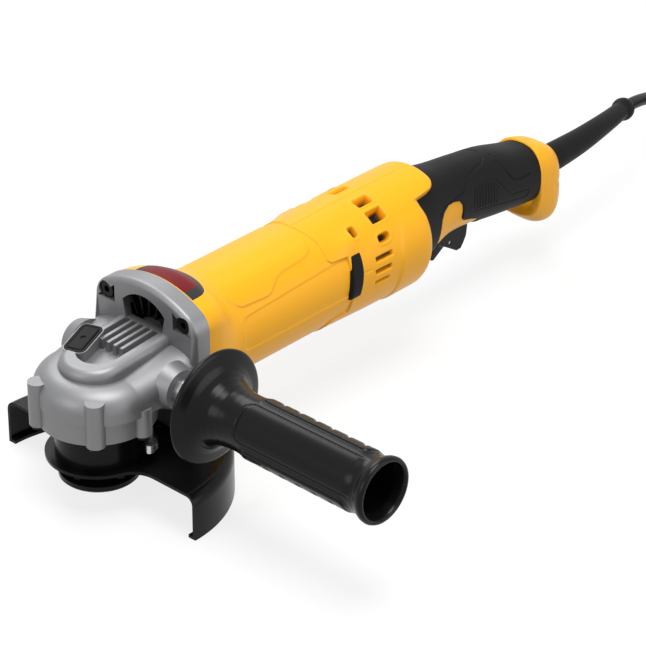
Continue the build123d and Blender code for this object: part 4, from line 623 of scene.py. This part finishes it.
def makeGrip(side, grip):
    # black rubber, proud of the core except in the window, where it dips below, with grooves and bars
    o, bars = handle, handle["bars"]
    x = np.linspace(*o["x"], o["rows"])[:, None]
    angle = np.linspace(0, np.pi, o["cols"])[None, :]
    points = handleGrid(x, angle, o["skin"])
    turn = np.degrees(angle) + 0 * x
    px, pz = points[..., 0], points[..., 2]
    lift = -o["windowDip"] * smoothStep(-0.35, 0.35, outlineGap(px, pz, o["window"]))
    deep, wide = o["groove"]
    for line in o["grooves"]:
        lift = lift - deep * hump(lineGap(px, turn * o["arc"], unroll(line, o["arc"])), wide)
    field = outlineGap(px, pz, o["ribs"])
    onSide = smoothStep(30, 45, turn) * (1 - smoothStep(125, 140, turn))
    lift = lift - 0.4 * hump(field, 0.5) * onSide
    wave = 0.5 - 0.5 * np.cos(2 * np.pi * (px - bars["first"]) / bars["pitch"])
    ends = smoothStep(bars["from"], bars["from"] + 1, px) * (1 - smoothStep(bars["to"] - 1, bars["to"], px))
    lift = lift - bars["deep"] * wave ** 2 * smoothStep(0.8, 1.6, field) * ends * onSide
    points = points + outward(points, False) * lift[..., None]
    keepMesh(grip + "Look", halfMesh(grip, points, side), "body", rubber, [grip])


for side, hand in ((1, "right"), (-1, "left")):
    makeCore(side, "handle_" + hand + "_shell")
    makeGrip(side, "grip_" + hand)
print("handle made")

# tail: yellow end of the handle that turns down behind the hand
# top, low and half are lines over x, edge is the front edge as (turn, x)
tail = {"start": 319, "cols": 140, "power": 2.9, "round": (338.8, 17.8), "roundTurn": 80, "boot": 29.0,
        "top": [(318, 56.8), (326, 56.6), (333, 55.7), (339, 54.0), (345, 51.2), (350, 47.5), (354, 43),
                (356.6, 38)],
        "low": [(317, 18.5), (323, 14), (329, 9), (335, 4.8), (341, 3.0), (347, 3.3), (352, 6.5), (354.6, 12),
                (356.5, 21)],
        "half": [(318, 17.2), (326, 18.0), (333, 18.0), (338.8, 17.8), (345, 17.8)],
        "edge": [(0, 331), (15, 330.8), (30, 330), (52, 328.6), (84, 328.2), (110, 328.4), (135, 327),
                 (160, 324), (180, 323)],
        "edgeDip": 5.0, "joint": {"dip": 0.35, "wide": 1.3}, "groove": {"z": 28.5, "dip": 0.9, "wide": 1.6}}


def makeTail(side, shell):
    # superellipse sections between the top and low lines; seen from above the end is a half circle
    o = tail
    angle = np.linspace(0, np.pi, o["cols"])[None, :]
    spot, radius = o["round"]
    bend = np.linspace(0, np.radians(o["roundTurn"]), 60)[1:]
    x = np.concatenate([np.linspace(o["start"], spot, 60), spot + radius * np.sin(bend)])[:, None]
    top, low = throughPoints(x, o["top"]), throughPoints(x, o["low"])
    bow = np.sqrt(np.maximum(0.1, radius ** 2 - (x - spot) ** 2))
    half = np.where(x > spot, bow, throughPoints(x, o["half"]))
    points = aroundAxis(x, angle, ovalReach(angle, half, (top - low) / 2, o["power"]), (top + low) / 2)
    # the front edge stands over the rubber, ahead of it the skin dips under
    turn = np.degrees(angle)
    gap = points[..., 0] - throughPoints(turn, o["edge"])
    lift = -o["edgeDip"] * (1 - smoothStep(-0.7, 0.3, gap))
    lift = lift - o["joint"]["dip"] * hump(np.minimum(turn, 180 - turn), o["joint"]["wide"])
    groove = o["groove"]
    lift = lift - groove["dip"] * hump(points[..., 2] - groove["z"], groove["wide"]) * smoothStep(338, 346, x)
    points = points + outward(points, False) * lift[..., None]
    # the end face closes towards the boot
    rim = points[-1:]
    shrink = np.linspace(1, 0, 12)[1:, None, None]
    centre = np.array([spot + radius, 0, o["boot"]])
    cap = centre + (rim - centre) * shrink
    cap[..., 0] = centre[0] + (rim[..., 0] - centre[0]) * shrink[..., 0] ** 2
    mesh = halfMesh(shell + "Tail", np.concatenate([points, cap]), side)
    keepMesh(shell + "Tail", mesh, "body", yellow, [shell])


makeTail(1, "handle_right_shell")
makeTail(-1, "handle_left_shell")

# bumper strips at the seam: a leaning strip with soft edges, its edges as (turn, x)
bumper = {"front": [(55, 159.0), (60, 158.4), (76, 156.1), (101, 153.9), (106, 153.5)],
          "back": [(55, 165.8), (60, 165.7), (76, 165.2), (101, 162.5), (106, 162.0)],
          "turn": (58.2, 102.5), "radius": 30.2, "rise": 2.5}


def makeBumper(side, node):
    # a and b run from -1 to 1 across and along the strip, and its rise falls to 0 at both
    a = np.linspace(-1, 1, 41)[:, None]
    b = np.linspace(-1, 1, 121)[None, :]
    turn = np.mean(bumper["turn"]) + (bumper["turn"][1] - bumper["turn"][0]) / 2 * b
    front, back = throughPoints(turn, bumper["front"]), throughPoints(turn, bumper["back"])
    x = (front + back) / 2 + a * (back - front) / 2
    r = bumper["radius"] + bumper["rise"] * (1 - np.abs(a) ** 8) ** 0.5 * (1 - np.abs(b) ** 24) ** 0.5
    points = aroundAxis(x, np.radians(turn), r, axisZ)
    keepMesh(node + "Look", halfMesh(node, points, side), "body", rubber, [node])


makeBumper(1, "bumper_right")
makeBumper(-1, "bumper_left")
print("tail and bumpers made")

# side handle: turned profile as (y, radius), its first points the outside, the rest the open end
# pads and panels are boxes on the unrolled grip: middle, half length, half width, corner
sideHandle = {"x": 22.5, "lean": 50, "cols": 216, "step": 0.55, "grip": 15.4, "outside": 25,
              "profile": [(-59.5, 7.3), (-59.5, 12), (-59.5, 20), (-59.5, 28.8), (-59.7, 29.9), (-60.3, 30.4),
                          (-61.2, 30.5), (-61.9, 30.2), (-62.4, 29.3), (-63.0, 27.2), (-64.0, 23.8),
                          (-65.6, 20.9), (-68.0, 18.5), (-71.2, 16.8), (-75.5, 15.6), (-80, 15.1),
                          (-84, 15.0), (-86.6, 15.1), (-88.6, 15.2), (-91, 15.3), (-130, 15.4),
                          (-164, 15.5), (-167, 15.8), (-169, 16.8), (-170.6, 17.5), (-172.4, 17.7),
                          (-173.6, 17.2), (-174, 16.3), (-173.9, 15.4), (-172.5, 14.7), (-168, 13.5),
                          (-140, 13.2), (-95, 13.0), (-94, 12.5), (-94, 6), (-94, 0.0)],
              "pad": (-126, 34, 8.4, 3.0), "panel": (-134, 45, 10.2, 4.0),
              "notch": {"start": -94, "pitch": 10.6, "slant": 0.35, "wide": 1.1, "deep": 1.2}}


def gripArc(phi, turn):
    # length round the grip from a line at a turn, half its girth to either side
    return (np.mod(phi - turn + np.pi, 2 * np.pi) - np.pi) * sideHandle["grip"]


def makeSideHandle():
    # profile turned about Y, with lift on the grip: two pads with slanting notches, two panels between
    o, notch = sideHandle, sideHandle["notch"]
    p = np.array(o["profile"], float)
    step = lengthAlong(p)
    runs = [np.linspace(a, b, max(3, int((b - a) / o["step"])))[:-1] for a, b in zip(step[:-1], step[1:])]
    fine = np.concatenate(runs + [step[-1:]])
    y, r = np.interp(fine, step, p[:, 0])[:, None], np.interp(fine, step, p[:, 1])[:, None]
    phi = np.linspace(0, 2 * np.pi, o["cols"], endpoint=False)[None, :]
    lift = 0 * y * phi
    lean = math.radians(o["lean"])
    middle, *size = o["pad"]
    for turn in (lean - np.pi / 2, lean + np.pi / 2):
        arc = gripArc(phi, turn)
        pad = boxGap(y, arc, middle, 0, *size)
        lift = lift + smoothStep(-0.5, 0.5, pad) + 0.4 * hump(pad + 2.0, 0.55) * (y > -164)
        across = np.mod(y - notch["start"] + notch["slant"] * arc, notch["pitch"]) - notch["pitch"] / 2
        cut = hump(across, notch["wide"]) * smoothStep(-5.4, -4.4, -np.abs(arc))
        lift = lift - notch["deep"] * cut * smoothStep(0.5, 1.5, pad)
    middle, *size = o["panel"]
    for turn in (lean, lean + np.pi):
        panel = boxGap(y, gripArc(phi, turn), middle, 0, *size)
        edge = 0.55 * smoothStep(-0.3, 0.3, panel) - 0.5 * hump(panel + 0.6, 0.45)
        lift = lift + edge * smoothStep(-166, -160, y)
    # only the outside of the grip, faded at the trumpet and at the end bead
    outer = (fine < step[o["outside"]])[:, None]
    r = r + lift * outer * smoothStep(-86.5, -88, y) * smoothStep(-166.5, -164.5, y)
    points = np.stack([o["x"] - r * np.sin(phi), y + 0 * phi, axisZ + r * np.cos(phi)], -1)
    keepMesh("sideHandleGrip", gridMesh("sideHandleGrip", points, wrap=True), "side_handle", blackPlastic,
             ["side_handle_grip"])


makeSideHandle()
print("side handle made")

# cord: one spline through the route's points, exit and length in metres
cordLine = {"diameter": 7.5, "length": 2.577, "exit": (0.365, 0, 0.0345),
            "lead": [(336, 0, 34.5), (374, 0, 34.5), (414, 5, 34.3), (450, 15, 30.5), (484, 27, 18.7),
                     (516, 40, 3), (547, 56, -10), (577, 77, -14.65), (607.5, 77, -14.65)],
            "tail": [(607.5, -47, -6.45), (592, -47, -6.45), (574, -47.6, -11.5), (556, -47.6, -11.5)],
            "coil": {"centre": (615, 15), "radius": 62.0, "pitch": 9.7, "halves": 8, "points": 8,
                     "low": -14.65, "high": -6.45, "inside": 0.981}}


def coilPoints():
    # half circles that lose half a pitch each, go up a layer and gain it again
    # the points stand a little outside the true radius, because the spline cuts inside them
    c = cordLine["coil"]
    cx, cy = c["centre"]
    spread = (np.arange(c["points"]) + 0.5) * np.pi / c["points"]
    radii = c["radius"] - np.arange(c["halves"] + 1) * c["pitch"] / 2
    radii = np.concatenate([radii, radii[::-1]])
    heights = np.repeat([c["low"], c["high"]], c["halves"] + 1)
    runs = []
    side = 1
    for near, far, z0, z1 in zip(radii[:-1], radii[1:], heights[:-1], heights[1:]):
        mid, r = cy + side * (near - far) / 2, (near + far) / 2 / c["inside"]
        z = z0 + (z1 - z0) * smoothStep(0, np.pi, spread)
        runs.append(np.stack([cx + side * r * np.sin(spread), mid + side * r * np.cos(spread), z], -1))
        side = -side
    return np.concatenate(runs)


def makeCord():
    # the spline read as bare points for the boot, then given its round section
    lead, end = np.array(cordLine["lead"], float), np.array(cordLine["tail"], float)
    route = np.concatenate([lead, coilPoints(), end]) / 1000
    curve = bpy.data.curves.new("powerCord", "CURVE")
    curve.dimensions = "3D"
    line = curve.splines.new("NURBS")
    line.points.add(len(route) - 1)
    line.points.foreach_set("co", np.hstack([route, np.ones((len(route), 1))]).ravel())
    line.order_u = 3
    line.use_endpoint_u = True
    line.resolution_u = 8
    obj = bpy.data.objects.new("powerCord", curve)
    scene.collection.objects.link(obj)
    bpy.context.view_layer.update()
    mesh = bpy.data.meshes.new_from_object(obj.evaluated_get(bpy.context.evaluated_depsgraph_get()))
    path = np.zeros(len(mesh.vertices) * 3)
    mesh.vertices.foreach_get("co", path)
    bpy.data.meshes.remove(mesh)
    curve.bevel_depth = cordLine["diameter"] / 2000
    curve.bevel_resolution = 5
    curve.use_fill_caps = True
    curve.materials.append(cordRubber)
    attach(obj, "body")
    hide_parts("cord_lead", "cord_coil", "cord_tail")
    return path.reshape(-1, 3) * 1000


cordPath = makeCord()

# boot: radius by the length along the cord, and a bulb as (middle, radius, half length)
boot = {"from": 18, "bulbFrom": 98, "to": 114.5, "neck": 4.05, "mouth": 3.5, "bulb": (107.0, 6.9, 8.2),
        "radius": [(18, 8.2), (24, 8.3), (34, 8.0), (56, 7.1), (80, 6.1), (100, 5.4)]}


def makeBoot():
    # rings square to the cord's path
    step = lengthAlong(cordPath)
    at = np.concatenate([np.linspace(boot["from"], boot["bulbFrom"], 100),
                         np.linspace(boot["bulbFrom"], boot["to"], 50)[1:]])
    centre = np.stack([np.interp(at, step, cordPath[:, k]) for k in range(3)], -1)
    ahead = np.gradient(centre, axis=0)
    ahead /= np.linalg.norm(ahead, axis=1, keepdims=True)
    side = np.cross(ahead, np.array([0, 0, 1.0]))
    side /= np.linalg.norm(side, axis=1, keepdims=True)
    up = np.cross(side, ahead)
    # the bulb is a round bead, squeezed at both ends
    mid, wide, long = boot["bulb"]
    bead = wide * np.sqrt(np.maximum(0, 1 - ((at - mid) / (long * 0.92)) ** 2))
    r = np.maximum(np.where(at < mid, throughPoints(at, boot["radius"]), boot["neck"]), bead)
    phi = np.linspace(0, 2 * np.pi, 64, endpoint=False)
    ring = side[:, None] * np.cos(phi)[None, :, None] + up[:, None] * np.sin(phi)[None, :, None]
    points = centre[:, None] + ring * r[:, None, None]
    last = centre[-1:, None] + ring[-1:] * boot["mouth"]
    keepMesh("cordBoot", gridMesh("cordBoot", np.concatenate([points, last]), wrap=True), "body", rubber,
             ["cord_protector"])


makeBoot()
print("cord and boot made")

# floor, lights and camera: lights as (name, place, size, power), in metres and watts
stage = {"floor": 0.80, "sky": 0.20, "reach": 6, "aim": (0.16, 0, 0.04),
         "lights": [("key", (0.0, -0.2, 1.5), 0.9, 21), ("back", (0.5, 0.9, 1.1), 0.8, 8),
                    ("left", (-1.3, 0.2, 0.7), 0.8, 5), ("front", (0.5, -1.4, 0.5), 1.2, 9)]}


def shownRay(tree):
    # 1 for rays that show the surroundings: from the camera, mirrored or through glass
    path = tree.nodes.new("ShaderNodeLightPath")
    total = path.outputs["Is Camera Ray"]
    for label in ("Is Glossy Ray", "Is Transmission Ray"):
        add = tree.nodes.new("ShaderNodeMath")
        add.use_clamp = True
        tree.links.new(total, add.inputs[0])
        tree.links.new(path.outputs[label], add.inputs[1])
        total = add.outputs["Value"]
    return total


def makeFloor():
    # pale to the camera and partly white by itself, greyer in the light it sends up to the tool
    far = stage["reach"]
    mesh = bpy.data.meshes.new("floor")
    mesh.from_pydata([(-far, -far, floorZ), (far, -far, floorZ), (far, far, floorZ), (-far, far, floorZ)], [],
                     [(0, 1, 2, 3)])
    obj = bpy.data.objects.new("floor", mesh)
    scene.collection.objects.link(obj)
    mat = bpy.data.materials.new("paleFloor")
    mat.use_nodes = True
    tree = mat.node_tree
    bsdf = tree.nodes["Principled BSDF"]
    bsdf.inputs["Roughness"].default_value = 0.9
    glow = tree.nodes.new("ShaderNodeEmission")
    seen = shownRay(tree)
    tone = tree.nodes.new("ShaderNodeMix")
    tone.data_type = "RGBA"
    tone.inputs["A"].default_value = (0.35, 0.35, 0.35, 1)
    tone.inputs["B"].default_value = (0.9, 0.9, 0.9, 1)
    tree.links.new(seen, tone.inputs["Factor"])
    tree.links.new(tone.outputs["Result"], bsdf.inputs["Base Color"])
    part = tree.nodes.new("ShaderNodeMath")
    part.operation = "MULTIPLY"
    part.inputs[1].default_value = stage["floor"]
    mix = tree.nodes.new("ShaderNodeMixShader")
    tree.links.new(seen, part.inputs[0])
    tree.links.new(part.outputs["Value"], mix.inputs["Fac"])
    tree.links.new(bsdf.outputs["BSDF"], mix.inputs[1])
    tree.links.new(glow.outputs["Emission"], mix.inputs[2])
    tree.links.new(mix.outputs["Shader"], tree.nodes["Material Output"].inputs["Surface"])
    mesh.materials.append(mat)


def makeLight():
    # a dim sky that looks white, and round area lamps aimed at the tool
    world = bpy.data.worlds.new("studio")
    scene.world = world
    world.use_nodes = True
    sky = world.node_tree
    sky.nodes["Background"].inputs["Color"].default_value = (0.97, 0.985, 1.0, 1)
    level = sky.nodes.new("ShaderNodeMapRange")
    level.inputs["To Min"].default_value = stage["sky"]
    sky.links.new(shownRay(sky), level.inputs["Value"])
    sky.links.new(level.outputs["Result"], sky.nodes["Background"].inputs["Strength"])
    for name, spot, size, power in stage["lights"]:
        lamp = bpy.data.lights.new(name, "AREA")
        lamp.shape = "DISK"
        lamp.size = size
        lamp.energy = power
        obj = bpy.data.objects.new(name, lamp)
        obj.location = spot
        obj.rotation_euler = (Vector(stage["aim"]) - Vector(spot)).to_track_quat("-Z", "Y").to_euler()
        scene.collection.objects.link(obj)


makeFloor()
makeLight()
view = {"place": (-0.9251, -1.0129, 0.8745), "azimuth": -47.15, "elevation": 30.22, "lens": 178.16}


def placeCamera():
    # level camera: its back points along the azimuth and elevation
    a, e = math.radians(view["azimuth"]), math.radians(view["elevation"])
    back = Vector((math.sin(a) * math.cos(e), -math.cos(a) * math.cos(e), math.sin(e)))
    right = Vector((math.cos(a), math.sin(a), 0))
    up = back.cross(right)
    cam = bpy.data.objects.new("camera", bpy.data.cameras.new("camera"))
    cam.data.lens = view["lens"]
    cam.data.sensor_width = 36
    cam.data.clip_start = 0.05
    cam.data.clip_end = 20
    turn = Matrix((right, up, back)).transposed().to_4x4()
    cam.matrix_world = Matrix.Translation(Vector(view["place"])) @ turn
    scene.collection.objects.link(cam)
    scene.camera = cam


placeCamera()
print("stage and camera placed")
